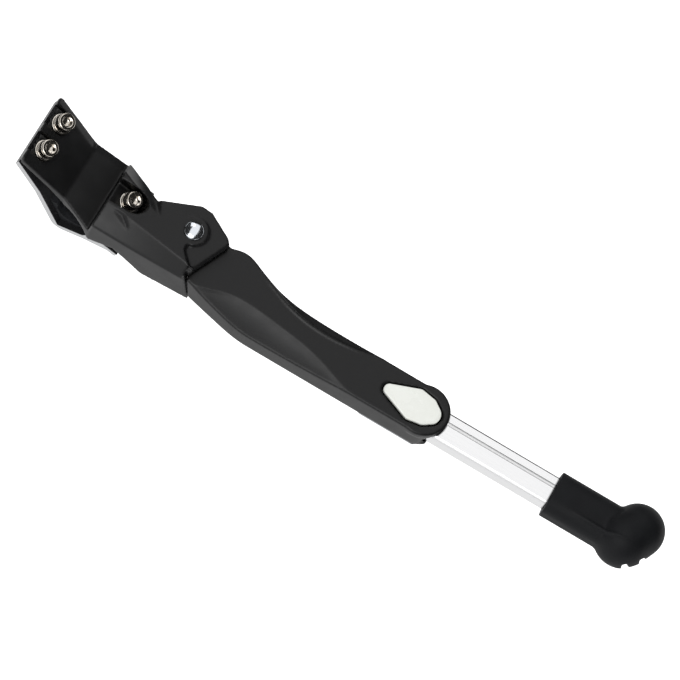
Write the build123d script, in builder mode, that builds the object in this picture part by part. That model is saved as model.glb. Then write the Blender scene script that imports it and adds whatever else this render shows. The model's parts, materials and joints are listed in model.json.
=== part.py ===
from build123d import *
import os
from math import asin, atan2, cos, degrees, hypot, radians, sin, tan

os.makedirs("parts", exist_ok=True)

# Driving dimensions, in millimetres and degrees.
# +X runs rearward along the clamped frame tube, +Y towards the wheel and +Z up. The origin is the tube's centre.

# Clamped tube and its rubber pads
STAY_RADIUS = 9.0
PAD_THICKNESS = 2.0
PAD_WIDTH = 30.0
PAD_HALF_ANGLE = 50.0
CLAMP_PAD_THICKNESS = 1.7
CLAMP_PAD_REACH = 2.0

# Lean and place of the pivot
SPLAY = 18.5
PIVOT_X = -2.0
PIVOT_OUT = 43.0
PIVOT_DROP = 42.0
FOLD_ANGLE = 95.0

# Bracket jaw
JAW_WIDTH = 33.0
JAW_WALL = 3.8
JAW_LIP = 1.2
FLOOR_TILT = 5.4
CREASE_RISE = 12.1
FLOOR_END_DROP = 5.9
FLANGE_TILT = 20.4
FLANGE_TOP = 41.2
FLANGE_FAN_REAR = 8.1
FLANGE_FAN_FORE = 4.1
FLANGE_ROOT = 20.0
FLANGE_THICKNESS = 3.9
FLANGE_CORNER = 2.0
RIM_WIDTH = 4.4
RIM_DROP = 1.7

# Bracket hinge block: distances down the leg from the pivot, to its sides, and back from its front face
BLOCK_START = -42.0
BLOCK_BACK_START = -29.0
BLOCK_BACK_START_DEPTH = 18.0
BLOCK_BACK_MIDDLE = -12.6
BLOCK_BACK_MIDDLE_DEPTH = 27.6
BLOCK_SIDE = 21.4
SIDE_WALL = 2.8
WALL_END_DEPTH = 25.0
WALL_END_FRONT = 6.2
WALL_END_LEAN = 14.5
BEVEL_TOP_START = 8.4
BEVEL_TOP_END = 15.9
BEVEL_DEPTH = 5.6
BEVEL_MARGIN = 1.5
REAR_BEVEL_START_SIDE = 9.2
REAR_BEVEL_START_SLOPE = 1.45
REAR_BEVEL_END = -16.1
REAR_BEVEL_END_SIDE = -3.4
REAR_BEVEL_END_SLOPE = 0.3
REAR_BEVEL_END_LEAN = 33.0
DART_START = -39.5
DART_SIDE = -10.3
DART_MIDDLE = -32.0
DART_END = -22.8
DART_END_SIDE = -17.8
DART_DEPTH = 1.6
CAVITY_START = -22.0
CHEEK_FALL_START = -7.0
CHEEK_FALL_SIDE = 11.0
CHEEK_FALL_DOWN = 0.037
CHEEK_FALL_FORWARD = 0.050
CHEEK_CLEAR = 0.6
CHEEK_BACK = 5.5
CHEEK_NOTCH = -21.6
CHEEK_NOTCH_SIDE = 4.6
CHEEK_REACH = 18.1
CHEEK_SIDE = 13.2
CHEEK_TOP_START = -2.4
CHEEK_TOP_END = 3.3
CHEEK_TOP_FALL = 0.4
CHEEK_TIP_LENGTH = 2.6
CHEEK_TIP_REAR = 6.2
CHEEK_TIP_SIDE = 3.2
CHEEK_EDGE = 1.2
CHEEK_CORNER = 2.8
LOBE_RADIUS = 7.2
LOBE_TOP_SIDE = 5.0
LOBE_TAIL = 0.7
LOBE_TAIL_SIDE = 10.4

# Clamp plate
PLATE_WIDTH = 36.8
PLATE_THICKNESS = 3.2
PLATE_GAP = 0.5
PLATE_ARM_ANGLE = 36.0
PLATE_UPPER_ANGLE = 44.5
PLATE_LOWER_ANGLE = -38.0
PLATE_APEX_RADIUS = 6.0
PLATE_TIP_INSET = 0.6
PLATE_KNEE_DROP = 9.9
PLATE_KNEE_EASE = 2.0
PLATE_FOOT_FACE = 1.2
PLATE_FOOT_END = 27.6
PLATE_HEEL_DROP = 22.9

# Clamp bolts and washers
BOLT_RADIUS = 2.5
BOLT_HEAD_RADIUS = 4.25
BOLT_HEAD_HEIGHT = 5.0
BOLT_HEAD_EDGE = 0.5
BOLT_SOCKET_ACROSS = 4.0
BOLT_SOCKET_DEPTH = 2.8
BOLT_CLEARANCE = 0.3
BOLT_STICK_OUT = 2.0
THREAD_CLEARANCE = 0.05
FLAT_WASHER_RADIUS = 5.0
FLAT_WASHER_THICKNESS = 1.0
LOCK_WASHER_RADIUS = 4.6
LOCK_WASHER_THICKNESS = 1.3
LOCK_WASHER_GAP = 1.0
WASHER_CLEARANCE = 0.15
POCKET_CLEARANCE = 0.5
UPPER_BOLT_SPACING = 15.6
UPPER_BOLT_SHIFT = 1.7
UPPER_BOLT_RISE = 33.1
UPPER_POCKET_DEPTH = 1.5
LOWER_BOLT_SIDE = -0.8
LOWER_BOLT_DROP = 13.2
SLOT_HALF = 6.2
SLOT_SHIFT = -0.8
LOWER_SEAT_OUT = 24.4

# Pivot rivet, washers and bush
RIVET_RADIUS = 3.0
RIVET_HEAD_RADIUS = 4.7
RIVET_HEAD_HEIGHT = 2.2
RIVET_HEAD_RIM = 0.5
RIVET_DOME_SIDE = 2.8
RIVET_DOME_HEIGHT = 1.67
RIVET_TAIL_RADIUS = 4.3
RIVET_TAIL_TIP = 3.0
RIVET_TAIL_HEIGHT = 1.5
RUNNING_CLEARANCE = 0.05
PIVOT_WASHER_RADIUS = 7.5
PIVOT_WASHER_THICKNESS = 0.8
TAIL_WASHER_RADIUS = 6.5
TAIL_WASHER_THICKNESS = 1.0
BUSH_WALL = 1.2

# Leg sleeve
HEAD_RADIUS = 9.5
HEAD_THICKNESS = 8.0
SLEEVE_WIDTH = 24.0
SLEEVE_OFFSET = 16.2
SLEEVE_FRONT_WALL = 4.45
SLEEVE_BACK_WALL = 2.85
SLEEVE_SIDE_WALL = 2.6
SLEEVE_END_WALL = 4.0
END_DISC_RADIUS = 12.7
END_DISC_SHIFT = 0.3
SLEEVE_BACK_EDGE = 4.0
SLEEVE_FRONT_EDGE = 0.8
STOP_CLEARANCE = 0.4
FLARE_SIDE = 6.6
FLARE_START = 19.0
FLARE_START_SIDE = 5.0
FLARE_RISE = 0.35
FLARE_END = 26.5
FLARE_MIDDLE = 36.5
FLARE_MIDDLE_SIDE = 3.3
FLARE_WAIST = 45.0
FLARE_WAIST_SIDE = 0.0
FLARE_NECK = 66.0
FLARE_NECK_SIDE = -3.4
FLARE_TAIL = 94.0
FLARE_EASE = 0.2
SHOULDER_START = 6.0
SHOULDER_SIDE = 19.6
TAPER_MIDDLE = 29.0
TAPER_MIDDLE_SIDE = 25.4
TAPER_END = 48.0
TAPER_RISE = 0.3
SCALLOP_ROLL_SIDE = 0.35
SCALLOP_ROLL_DEPTH = 0.75
SCALLOP_RUN_OUT = 0.5
EDGE_OVERRUN = 3.0
POCKET_START = 16.0
POCKET_MOUTH = 28.0
POCKET_MOUTH_SIDE = 3.0
POCKET_BEND = 62.0
POCKET_END = 66.0
POCKET_FRONT_WALL = 4.0
CHANNEL_START = 70.0
CHANNEL_CLEARANCE = 0.3
TONGUE_START = 140.5

# Toggle spring and its two pins
SPRING_POST_ALONG = 56.0
SPRING_POST_SIDE = 14.0
SPRING_ANCHOR_REACH = 14.0
SPRING_PIN_RADIUS = 2.2
SPRING_PIN_HEAD_RADIUS = 3.2
SPRING_PIN_HEAD_HEIGHT = 1.0
SPRING_PIN_SEAT = 2.5
SPRING_AXIS_DEPTH = 20.6
SPRING_COIL_RADIUS = 3.2
SPRING_WIRE_RADIUS = 0.6
SPRING_HOOK_LENGTH = 8.0
SPRING_HOOK_CLEARANCE = 0.1
SPRING_COILS = 16

# Sliding tube
TUBE_WIDTH = 15.4
TUBE_DEPTH = 10.4
TUBE_CORNER = 1.9
TUBE_WALL = 1.8
TUBE_START = 78.0
TUBE_LENGTH = 162.0
TUBE_TRAVEL = 40.0
TUBE_STATIONS = 5
TUBE_SLOT_CLEARANCE = 0.3
GROOVE_WIDTH = 1.9
GROOVE_DEPTH = 0.5
GROOVE_SHIFT = 2.0
PLUG_LENGTH = 6.0
PLUG_FLANGE = 1.5
PLUG_INSET = 0.3

# Release button, latch pin and leaf spring
BUTTON_TIP = 113.0
BUTTON_TAPER = 16.0
BUTTON_WAIST = 8.0
BUTTON_NOSE = 6.0
BUTTON_TIP_HALF = 2.0
BUTTON_SHOULDER_HALF = 8.4
BUTTON_HIP_HALF = 7.0
BUTTON_END_HALF = 2.6
BUTTON_CORNER = 2.4
BUTTON_PROUD = 0.7
BUTTON_THICKNESS = 2.4
BUTTON_EDGE = 0.7
BUTTON_CLEARANCE = 0.8
LATCH_PIN_RADIUS = 2.2
LATCH_COLLAR_RADIUS = 4.0
LATCH_COLLAR_HEIGHT = 2.0
LATCH_COLLAR_GAP = 0.4
LEAF_THICKNESS = 1.0
LEAF_WIDTH = 21.6
LEAF_START = 107.0
LEAF_LENGTH = 33.0
LEAF_CORNER = 3.0
SCREW_INSET = 5.5
SCREW_SPACING = 10.0
SCREW_RADIUS = 1.5
SCREW_HEAD_RADIUS = 2.6
SCREW_HEAD_HEIGHT = 1.6
SCREW_CLEARANCE = 0.1

# Rubber foot
BOOT_GRIP = 34.3
BOOT_WIDTH = 22.4
BOOT_DEPTH = 18.0
BOOT_CORNER = 7.0
TOE_RADIUS = 14.0
TOE_BEYOND = 5.3
TOE_SHIFT = -1.3
HEEL_RADIUS = 13.0
HEEL_BEYOND = 9.6
HEEL_SHIFT = 5.9
SOLE_DISTANCE = 13.2
SOLE_DOWN = 0.72
SOLE_FORWARD = 0.62
SOLE_INWARD = 0.30
TREAD_WIDTH = 3.0
TREAD_DEPTH = 2.4
TREAD_LEAN = 21.7
TREAD_SPACING = 8.7
TREAD_SHIFT = 2.8
TREAD_COUNT = 3

# Longer than anything that a cut has to pass through, and how far a short cut starts outside a face
THROUGH = 200.0
CUT_MARGIN = 1.0

# Leg frame: local x runs down the leg, local y rearward and local z outward from the bracket's front face
DOWN = Vector(0, -sin(radians(SPLAY)), -cos(radians(SPLAY)))
OUT = Vector(0, -cos(radians(SPLAY)), sin(radians(SPLAY)))
PIVOT = Vector(PIVOT_X, -PIVOT_OUT, -PIVOT_DROP)
LEG = Plane(origin=PIVOT, x_dir=DOWN, z_dir=OUT)
LEG_SIDE = Plane(origin=PIVOT, x_dir=DOWN, z_dir=(-1, 0, 0))
HINGE = Axis(PIVOT, OUT)


def leg_section(along, side=0):
    """Plane across the leg: local x rearward, local y outward."""
    return Plane(origin=LEG.from_local_coords((along, side, 0)), x_dir=(1, 0, 0), z_dir=DOWN)


def side_point(along, out):
    """Row frame (y, z) of a point given down the leg and outward."""
    place = LEG.from_local_coords((along, 0, out))
    return (place.Y, place.Z)


def bolt_plane(x, out, rise):
    """Plane across a clamp bolt: local x rearward, local y up, and local z outward along the bolt."""
    return Plane(origin=(x, -out, rise), x_dir=(1, 0, 0), z_dir=(0, -1, 0))


def meeting(first_reach, first_angle, second_reach, second_angle):
    """Point (y, z) where two lines meet, each given by its distance from the tube's centre and its normal's angle."""
    a = radians(first_angle)
    b = radians(second_angle)
    spread = sin(b - a)
    y = (first_reach * sin(b) - second_reach * sin(a)) / spread
    z = (second_reach * cos(a) - first_reach * cos(b)) / spread
    return (y, z)


# Jaw: seat for the pad, floor behind it, and the bolt flange that leans out above it
seat_radius = STAY_RADIUS + PAD_THICKNESS
floor_reach = seat_radius + JAW_WALL
floor_slope = tan(radians(FLOOR_TILT))
flange_slope = tan(radians(FLANGE_TILT))
crease = (-floor_reach + floor_slope * CREASE_RISE, CREASE_RISE)
floor_end = (-floor_reach - floor_slope * FLOOR_END_DROP, -FLOOR_END_DROP)
lip_y = -seat_radius * cos(radians(PAD_HALF_ANGLE))
lip_z = seat_radius * sin(radians(PAD_HALF_ANGLE)) + JAW_LIP
jaw_half = JAW_WIDTH / 2


def flange_front(rise):
    """Y of the bolt flange's front face at a height."""
    return crease[0] - flange_slope * (rise - CREASE_RISE)


# Hinge block, in the leg frame
jaw_rear = jaw_half - PIVOT_X
jaw_fore = -jaw_half - PIVOT_X
crease_along = LEG.to_local_coords(Vector(0, *crease)).X
flange_tip = (flange_front(FLANGE_TOP), FLANGE_TOP)
flange_along = LEG.to_local_coords(Vector(0, *flange_tip)).X
fan_rear = tan(radians(FLANGE_FAN_REAR))
fan_fore = tan(radians(FLANGE_FAN_FORE))
flange_rear = jaw_half + (crease_along - flange_along) * fan_rear
wall_inner = -BLOCK_SIDE + SIDE_WALL
wall_slope = tan(radians(WALL_END_LEAN))
wall_end = WALL_END_FRONT + wall_slope * WALL_END_DEPTH
cheek_outline = [
    (CHEEK_NOTCH, CHEEK_NOTCH_SIDE),
    (CHEEK_TOP_START, CHEEK_SIDE),
    (CHEEK_TOP_END, CHEEK_SIDE - CHEEK_TOP_FALL),
    (CHEEK_REACH - CHEEK_TIP_LENGTH, CHEEK_TIP_REAR),
    (CHEEK_REACH, CHEEK_TIP_SIDE),
    (WALL_END_FRONT + CHEEK_CORNER, wall_inner + CHEEK_CLEAR),
]


def bevel_level(along, side):
    """Level of the long bevel's face at a place, outward from the block's front face."""
    share = (along - BLOCK_START + BEVEL_MARGIN) / (WALL_END_FRONT - BLOCK_START + BEVEL_MARGIN)
    top = BEVEL_TOP_START + (BEVEL_TOP_END - BEVEL_TOP_START) * share
    return -BEVEL_DEPTH * (-side - top) / (BLOCK_SIDE - top)


# Both ends of the rear bevel
rear_bevel_start = leg_section(BLOCK_START - BEVEL_MARGIN, REAR_BEVEL_START_SIDE)
rear_bevel_end = leg_section(REAR_BEVEL_END, REAR_BEVEL_END_SIDE).rotated((0, -REAR_BEVEL_END_LEAN, 0))

# Dart on the long bevel, and the slightly falling face of the cheek
dart_corners = [
    LEG.from_local_coords((DART_START, DART_SIDE, bevel_level(DART_START, DART_SIDE))),
    LEG.from_local_coords((DART_MIDDLE, DART_SIDE, bevel_level(DART_MIDDLE, DART_SIDE) - DART_DEPTH)),
    LEG.from_local_coords((DART_END, DART_END_SIDE, bevel_level(DART_END, DART_END_SIDE))),
]
dart_normal = (dart_corners[2] - dart_corners[0]).cross(dart_corners[1] - dart_corners[0])
dart_plane = Plane(origin=dart_corners[0], x_dir=dart_corners[1] - dart_corners[0], z_dir=dart_normal)
cheek_normal = OUT + DOWN * CHEEK_FALL_DOWN - Vector(1, 0, 0) * CHEEK_FALL_FORWARD
cheek_origin = LEG.from_local_coords((CHEEK_FALL_START, CHEEK_FALL_SIDE, 0))
cheek_fall = Plane(origin=cheek_origin, x_dir=DOWN, z_dir=cheek_normal)

# Clamp plate lines, each by its distance from the tube's centre
plate_reach = STAY_RADIUS + CLAMP_PAD_THICKNESS
plate_top = FLANGE_TOP - PLATE_TIP_INSET
arm_angle = radians(PLATE_ARM_ANGLE)
arm_y = flange_front(plate_top) + FLANGE_THICKNESS + PLATE_GAP
arm_reach = arm_y * cos(arm_angle) + plate_top * sin(arm_angle)
arm_far_reach = arm_reach + PLATE_THICKNESS


def plate_far(rise):
    """Y of the far face of the clamp plate's upper arm at a height."""
    return (arm_far_reach - rise * sin(arm_angle)) / cos(arm_angle)


def plate_lower(reach, drop):
    """Y of the V's lower face at a drop below the tube's centre."""
    lean = radians(PLATE_LOWER_ANGLE)
    return (reach + drop * sin(lean)) / cos(lean)


plate_far_reach = plate_reach + PLATE_THICKNESS
knee = (plate_lower(plate_reach, PLATE_KNEE_DROP), -PLATE_KNEE_DROP)
knee_far_drop = PLATE_KNEE_DROP + PLATE_KNEE_EASE
knee_far = (plate_lower(plate_far_reach, knee_far_drop), -knee_far_drop)
foot_far = -PLATE_FOOT_FACE + PLATE_THICKNESS
heel_share = (PLATE_HEEL_DROP - LOWER_BOLT_DROP) / (PLATE_HEEL_DROP - knee_far_drop)
lower_exit = foot_far + (knee_far[0] - foot_far) * heel_share

# Bolt seats
upper_bolt_x = (UPPER_BOLT_SHIFT - UPPER_BOLT_SPACING / 2, UPPER_BOLT_SHIFT + UPPER_BOLT_SPACING / 2)
upper_seat_out = -flange_front(UPPER_BOLT_RISE) - UPPER_POCKET_DEPTH
upper_exit = plate_far(UPPER_BOLT_RISE - BOLT_RADIUS)
washer_stack = FLAT_WASHER_THICKNESS + LOCK_WASHER_THICKNESS
pocket_radius = FLAT_WASHER_RADIUS + POCKET_CLEARANCE
washer_hole = BOLT_RADIUS + WASHER_CLEARANCE
lower_bolt_x = PIVOT_X + LOWER_BOLT_SIDE
slot_x = lower_bolt_x + SLOT_SHIFT

# Leg levels, outward from the bracket's front face
sleeve_front = -CHEEK_BACK - PIVOT_WASHER_THICKNESS
channel_front = sleeve_front - SLEEVE_FRONT_WALL
channel_depth = TUBE_DEPTH + 2 * CHANNEL_CLEARANCE
channel_width = TUBE_WIDTH + 2 * CHANNEL_CLEARANCE
tube_axis = channel_front - channel_depth / 2
channel_back = channel_front - channel_depth
sleeve_back = channel_back - SLEEVE_BACK_WALL
sleeve_depth = sleeve_front - sleeve_back
head_back = sleeve_front - HEAD_THICKNESS
tail_start = head_back - TAIL_WASHER_THICKNESS
bush_radius = RIVET_RADIUS + RUNNING_CLEARANCE + BUSH_WALL

# Leg sides and ends
sleeve_rear = -SLEEVE_OFFSET + SLEEVE_WIDTH / 2
sleeve_fore = -SLEEVE_OFFSET - SLEEVE_WIDTH / 2
end_radius = SLEEVE_WIDTH / 2
button_shoulder = BUTTON_TIP + BUTTON_TAPER
button_hip = button_shoulder + BUTTON_WAIST
button_end = button_hip + BUTTON_NOSE
sleeve_end = button_end + SLEEVE_END_WALL
latch_along = button_shoulder
tube_end = TUBE_START + TUBE_LENGTH
boot_start = tube_end - BOOT_GRIP
tube_front = tube_axis + TUBE_DEPTH / 2
station_pitch = TUBE_TRAVEL / (TUBE_STATIONS - 1)
slot_radius = LATCH_PIN_RADIUS + TUBE_SLOT_CLEARANCE

# Toggle spring: the anchor lies opposite the post's place at half swing, so the spring is as long at both ends
post = (SPRING_POST_ALONG, -SPRING_POST_SIDE)
half_swing = atan2(post[1], post[0]) + radians(FOLD_ANGLE) / 2
anchor = (-SPRING_ANCHOR_REACH * cos(half_swing), -SPRING_ANCHOR_REACH * sin(half_swing))
spring_span = Vector(post[0] - anchor[0], post[1] - anchor[1])
spring_length = hypot(spring_span.X, spring_span.Y)

# Bracket: bent jaw and bolt flange, hinge block with one side wall, and the cheek that carries the pivot
with BuildPart() as bracket_body:
    with BuildSketch(Plane.YZ.offset(PIVOT_X - BLOCK_SIDE)):
        Polygon(
            flange_tip,
            crease,
            floor_end,
            side_point(BLOCK_START, 0),
            side_point(CHEEK_REACH, 0),
            side_point(CHEEK_REACH, -WALL_END_DEPTH),
            side_point(wall_end, -WALL_END_DEPTH),
            side_point(BLOCK_BACK_MIDDLE, -BLOCK_BACK_MIDDLE_DEPTH),
            side_point(BLOCK_BACK_START, -BLOCK_BACK_START_DEPTH),
            (lip_y, -lip_z),
            (lip_y, lip_z),
            (flange_front(FLANGE_ROOT) + FLANGE_THICKNESS, FLANGE_ROOT),
            (flange_front(FLANGE_TOP) + FLANGE_THICKNESS, FLANGE_TOP),
            align=None,
        )
    extrude(amount=BLOCK_SIDE + JAW_WIDTH)
    with BuildSketch(LEG.offset(THROUGH / 2)):
        Polygon(
            (crease_along - THROUGH, jaw_rear + THROUGH * fan_rear),
            (crease_along, jaw_rear),
            (BLOCK_START, jaw_rear),
            *cheek_outline,
            (THROUGH, wall_inner + CHEEK_CLEAR),
            (THROUGH, -BLOCK_SIDE),
            (BLOCK_START, -BLOCK_SIDE),
            (crease_along, jaw_fore),
            (crease_along - THROUGH, jaw_fore - THROUGH * fan_fore),
            align=None,
        )
    extrude(amount=-THROUGH, mode=Mode.INTERSECT)
    # Rounded upper corners of the flange
    fillet(bracket_body.edges().group_by(Axis.Z)[-1].sort_by(SortBy.LENGTH)[:2], FLANGE_CORNER)
    # Hollow under the cheek, open rearward and at the back
    with BuildSketch(LEG.offset(-CHEEK_BACK)):
        Polygon(
            (CAVITY_START, THROUGH),
            (CAVITY_START, wall_inner),
            (THROUGH, wall_inner),
            (THROUGH, THROUGH),
            align=None,
        )
    extrude(amount=-THROUGH, mode=Mode.SUBTRACT)
    # Slanted end of the side wall, which stops the open leg
    with BuildSketch(LEG_SIDE.offset(-wall_inner - CHEEK_CLEAR)):
        Polygon(
            (WALL_END_FRONT, 0),
            (WALL_END_FRONT + wall_slope * THROUGH, -THROUGH),
            (THROUGH, -THROUGH),
            (THROUGH, 0),
            align=None,
        )
    extrude(amount=THROUGH, mode=Mode.SUBTRACT)
    # Long bevel between the front face and the side wall
    for along, top in ((BLOCK_START - BEVEL_MARGIN, BEVEL_TOP_START), (WALL_END_FRONT, BEVEL_TOP_END)):
        with BuildSketch(leg_section(along)):
            drop = BEVEL_DEPTH * (2 * BLOCK_SIDE - top) / (BLOCK_SIDE - top)
            Polygon((-top, 0), (-top, drop), (-2 * BLOCK_SIDE, drop), (-2 * BLOCK_SIDE, -drop), align=None)
    loft(ruled=True, mode=Mode.SUBTRACT)
    # Bevel along the block's rear edge, steep at the jaw and shallow at its slanted end on the cheek
    for plane, slope in (
        (rear_bevel_start, REAR_BEVEL_START_SLOPE),
        (rear_bevel_end, REAR_BEVEL_END_SLOPE),
    ):
        with BuildSketch(plane):
            Polygon(
                (0, 0),
                (0, JAW_WIDTH),
                (JAW_WIDTH, JAW_WIDTH),
                (JAW_WIDTH, -slope * JAW_WIDTH),
                align=None,
            )
    loft(ruled=True, mode=Mode.SUBTRACT)
    # Dart shaped facet on the long bevel
    with BuildSketch(dart_plane):
        Polygon(*[tuple(dart_plane.to_local_coords(corner))[:2] for corner in dart_corners], align=None)
    extrude(amount=BEVEL_DEPTH, mode=Mode.SUBTRACT)
    # Cheek's face, which falls away round the lobe that carries the rivet's head
    with BuildSketch(cheek_fall):
        with Locations((-CHEEK_FALL_START, -CHEEK_FALL_SIDE)):
            Polygon(
                (CHEEK_NOTCH, CHEEK_NOTCH_SIDE - CHEEK_CLEAR),
                (-LOBE_RADIUS, LOBE_TOP_SIDE),
                (0, 0),
                (LOBE_TAIL, -LOBE_TAIL_SIDE),
                (WALL_END_FRONT, -BEVEL_TOP_END),
                (THROUGH, -BEVEL_TOP_END),
                (THROUGH, THROUGH),
                (CHEEK_NOTCH, THROUGH),
                align=None,
            )
            Circle(LOBE_RADIUS, mode=Mode.SUBTRACT)
    extrude(amount=CHEEK_BACK, mode=Mode.SUBTRACT)
    lower_edge = ((CHEEK_REACH + cheek_outline[-1][0]) / 2, (CHEEK_TIP_SIDE + cheek_outline[-1][1]) / 2)
    chamfer(bracket_body.edges().sort_by_distance(LEG.from_local_coords((*lower_edge, 0)))[0], CHEEK_EDGE)
    # Bevelled rim along the rear edge of the flange and of the floor
    rim_corner = Vector(jaw_half, *crease)
    for start, end in (
        (Vector(flange_rear, *flange_tip), rim_corner),
        (rim_corner, Vector(jaw_half, *floor_end)),
    ):
        with BuildSketch(Plane(origin=start, x_dir=(1, 0, 0), z_dir=end - start)):
            Polygon(
                (-RIM_WIDTH, 0),
                (-RIM_WIDTH, RIM_WIDTH),
                (RIM_WIDTH, RIM_WIDTH),
                (RIM_WIDTH, -2 * RIM_DROP),
                align=None,
            )
        extrude(amount=(end - start).length, mode=Mode.SUBTRACT)
    # Seat for the rubber strip
    with BuildSketch(Plane.YZ.offset(-THROUGH / 2)):
        Circle(seat_radius)
    extrude(amount=THROUGH, mode=Mode.SUBTRACT)
    # Flat bolt seats, open at the flange's top edge, and the slot for the lower bolt, open towards the jaw
    for x in upper_bolt_x:
        with BuildSketch(bolt_plane(x, upper_seat_out, UPPER_BOLT_RISE)):
            Circle(pocket_radius)
            with Locations((0, FLANGE_TOP / 2)):
                Rectangle(2 * pocket_radius, FLANGE_TOP)
        extrude(amount=THROUGH, mode=Mode.SUBTRACT)
        with BuildSketch(bolt_plane(x, upper_seat_out, UPPER_BOLT_RISE)):
            Circle(BOLT_RADIUS + BOLT_CLEARANCE)
        extrude(amount=-THROUGH, mode=Mode.SUBTRACT)
    with BuildSketch(bolt_plane(slot_x, LOWER_SEAT_OUT, -LOWER_BOLT_DROP)):
        Circle(SLOT_HALF)
        with Locations((0, LOWER_BOLT_DROP / 2)):
            Rectangle(2 * SLOT_HALF, LOWER_BOLT_DROP)
    extrude(amount=THROUGH, mode=Mode.SUBTRACT)
    with BuildSketch(bolt_plane(lower_bolt_x, LOWER_SEAT_OUT, -LOWER_BOLT_DROP)):
        Circle(BOLT_RADIUS + BOLT_CLEARANCE)
    extrude(amount=-THROUGH, mode=Mode.SUBTRACT)
    # Holes for the rivet and for the spring's anchor pin
    with BuildSketch(LEG.offset(CUT_MARGIN)):
        Circle(RIVET_RADIUS)
    extrude(amount=-CHEEK_BACK - 2 * CUT_MARGIN, mode=Mode.SUBTRACT)
    with BuildSketch(LEG.offset(-CHEEK_BACK)):
        with Locations(anchor):
            Circle(SPRING_PIN_RADIUS)
    extrude(amount=SPRING_PIN_SEAT, mode=Mode.SUBTRACT)
bracket_body.part.label = "bracket_body"
export_step(bracket_body.part, "parts/bracket_body.step")

# Rubber strip bonded into the jaw's seat
with BuildPart() as bracket_pad:
    with BuildSketch(Plane.YZ.offset(-PAD_WIDTH / 2)):
        with BuildLine():
            outer = CenterArc((0, 0), seat_radius, 180 - PAD_HALF_ANGLE, 2 * PAD_HALF_ANGLE)
            inner = CenterArc((0, 0), STAY_RADIUS, 180 - PAD_HALF_ANGLE, 2 * PAD_HALF_ANGLE)
            Line(outer @ 0, inner @ 0)
            Line(outer @ 1, inner @ 1)
        make_face()
    extrude(amount=PAD_WIDTH)
bracket_pad.part.label = "bracket_pad"
export_step(bracket_pad.part, "parts/bracket_pad.step")

# Clamp plate: two arms that meet in a V behind the tube, and a thick foot for the lower bolt
apex = meeting(plate_reach, PLATE_LOWER_ANGLE, plate_reach, PLATE_UPPER_ANGLE)
with BuildPart() as clamp_plate:
    with BuildSketch(Plane.YZ.offset(-PLATE_WIDTH / 2)) as plate_profile:
        Polygon(
            (arm_y, plate_top),
            meeting(plate_reach, PLATE_UPPER_ANGLE, arm_reach, PLATE_ARM_ANGLE),
            apex,
            knee,
            (-PLATE_FOOT_FACE, -knee_far_drop),
            (-PLATE_FOOT_FACE, -PLATE_FOOT_END),
            (foot_far, -PLATE_FOOT_END),
            (foot_far, -PLATE_HEEL_DROP),
            knee_far,
            meeting(plate_far_reach, PLATE_LOWER_ANGLE, plate_far_reach, PLATE_UPPER_ANGLE),
            meeting(plate_far_reach, PLATE_UPPER_ANGLE, arm_far_reach, PLATE_ARM_ANGLE),
            (plate_far(plate_top), plate_top),
            align=None,
        )
        fillet(plate_profile.vertices().sort_by(Axis.X)[-1], PLATE_APEX_RADIUS)
    extrude(amount=PLATE_WIDTH)
    for x in upper_bolt_x:
        with BuildSketch(bolt_plane(x, THROUGH / 2, UPPER_BOLT_RISE)):
            Circle(BOLT_RADIUS + THREAD_CLEARANCE)
        extrude(amount=-THROUGH, mode=Mode.SUBTRACT)
    with BuildSketch(bolt_plane(lower_bolt_x, THROUGH / 2, -LOWER_BOLT_DROP)):
        Circle(BOLT_RADIUS + THREAD_CLEARANCE)
    extrude(amount=-THROUGH, mode=Mode.SUBTRACT)
clamp_plate.part.label = "clamp_plate"
export_step(clamp_plate.part, "parts/clamp_plate.step")

# Rubber pad that fills the plate's V and takes the other side of the tube
with BuildPart() as clamp_pad:
    with BuildSketch(Plane.YZ.offset(-PAD_WIDTH / 2)):
        Polygon(
            (CLAMP_PAD_REACH, plate_lower(plate_reach, 0)),
            (CLAMP_PAD_REACH, -PLATE_KNEE_DROP),
            knee,
            apex,
            meeting(plate_reach, PLATE_UPPER_ANGLE, CLAMP_PAD_REACH, 0),
            align=None,
        )
        Circle(STAY_RADIUS, mode=Mode.SUBTRACT)
    extrude(amount=PAD_WIDTH)
clamp_pad.part.label = "clamp_pad"
export_step(clamp_pad.part, "parts/clamp_pad.step")


def socket_bolt(seat, exit_y, out):
    """Socket head bolt on its washers, with its end past the far face of the clamp plate."""
    length = out + washer_stack + exit_y + BOLT_STICK_OUT
    with BuildPart() as bolt:
        with BuildSketch(seat.offset(washer_stack)):
            Circle(BOLT_HEAD_RADIUS)
        extrude(amount=BOLT_HEAD_HEIGHT)
        chamfer(bolt.faces().sort_by(Axis.Y)[0].edges(), BOLT_HEAD_EDGE)
        with BuildSketch(seat.offset(washer_stack)):
            Circle(BOLT_RADIUS)
        extrude(amount=-length)
        with BuildSketch(seat.offset(washer_stack + BOLT_HEAD_HEIGHT)):
            RegularPolygon(BOLT_SOCKET_ACROSS / 2, 6, major_radius=False)
        extrude(amount=-BOLT_SOCKET_DEPTH, mode=Mode.SUBTRACT)
    return bolt.part


def flat_washer(seat):
    """Plain washer under a bolt's lock washer."""
    with BuildPart() as washer:
        with BuildSketch(seat):
            Circle(FLAT_WASHER_RADIUS)
            Circle(washer_hole, mode=Mode.SUBTRACT)
        extrude(amount=FLAT_WASHER_THICKNESS)
    return washer.part


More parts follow.
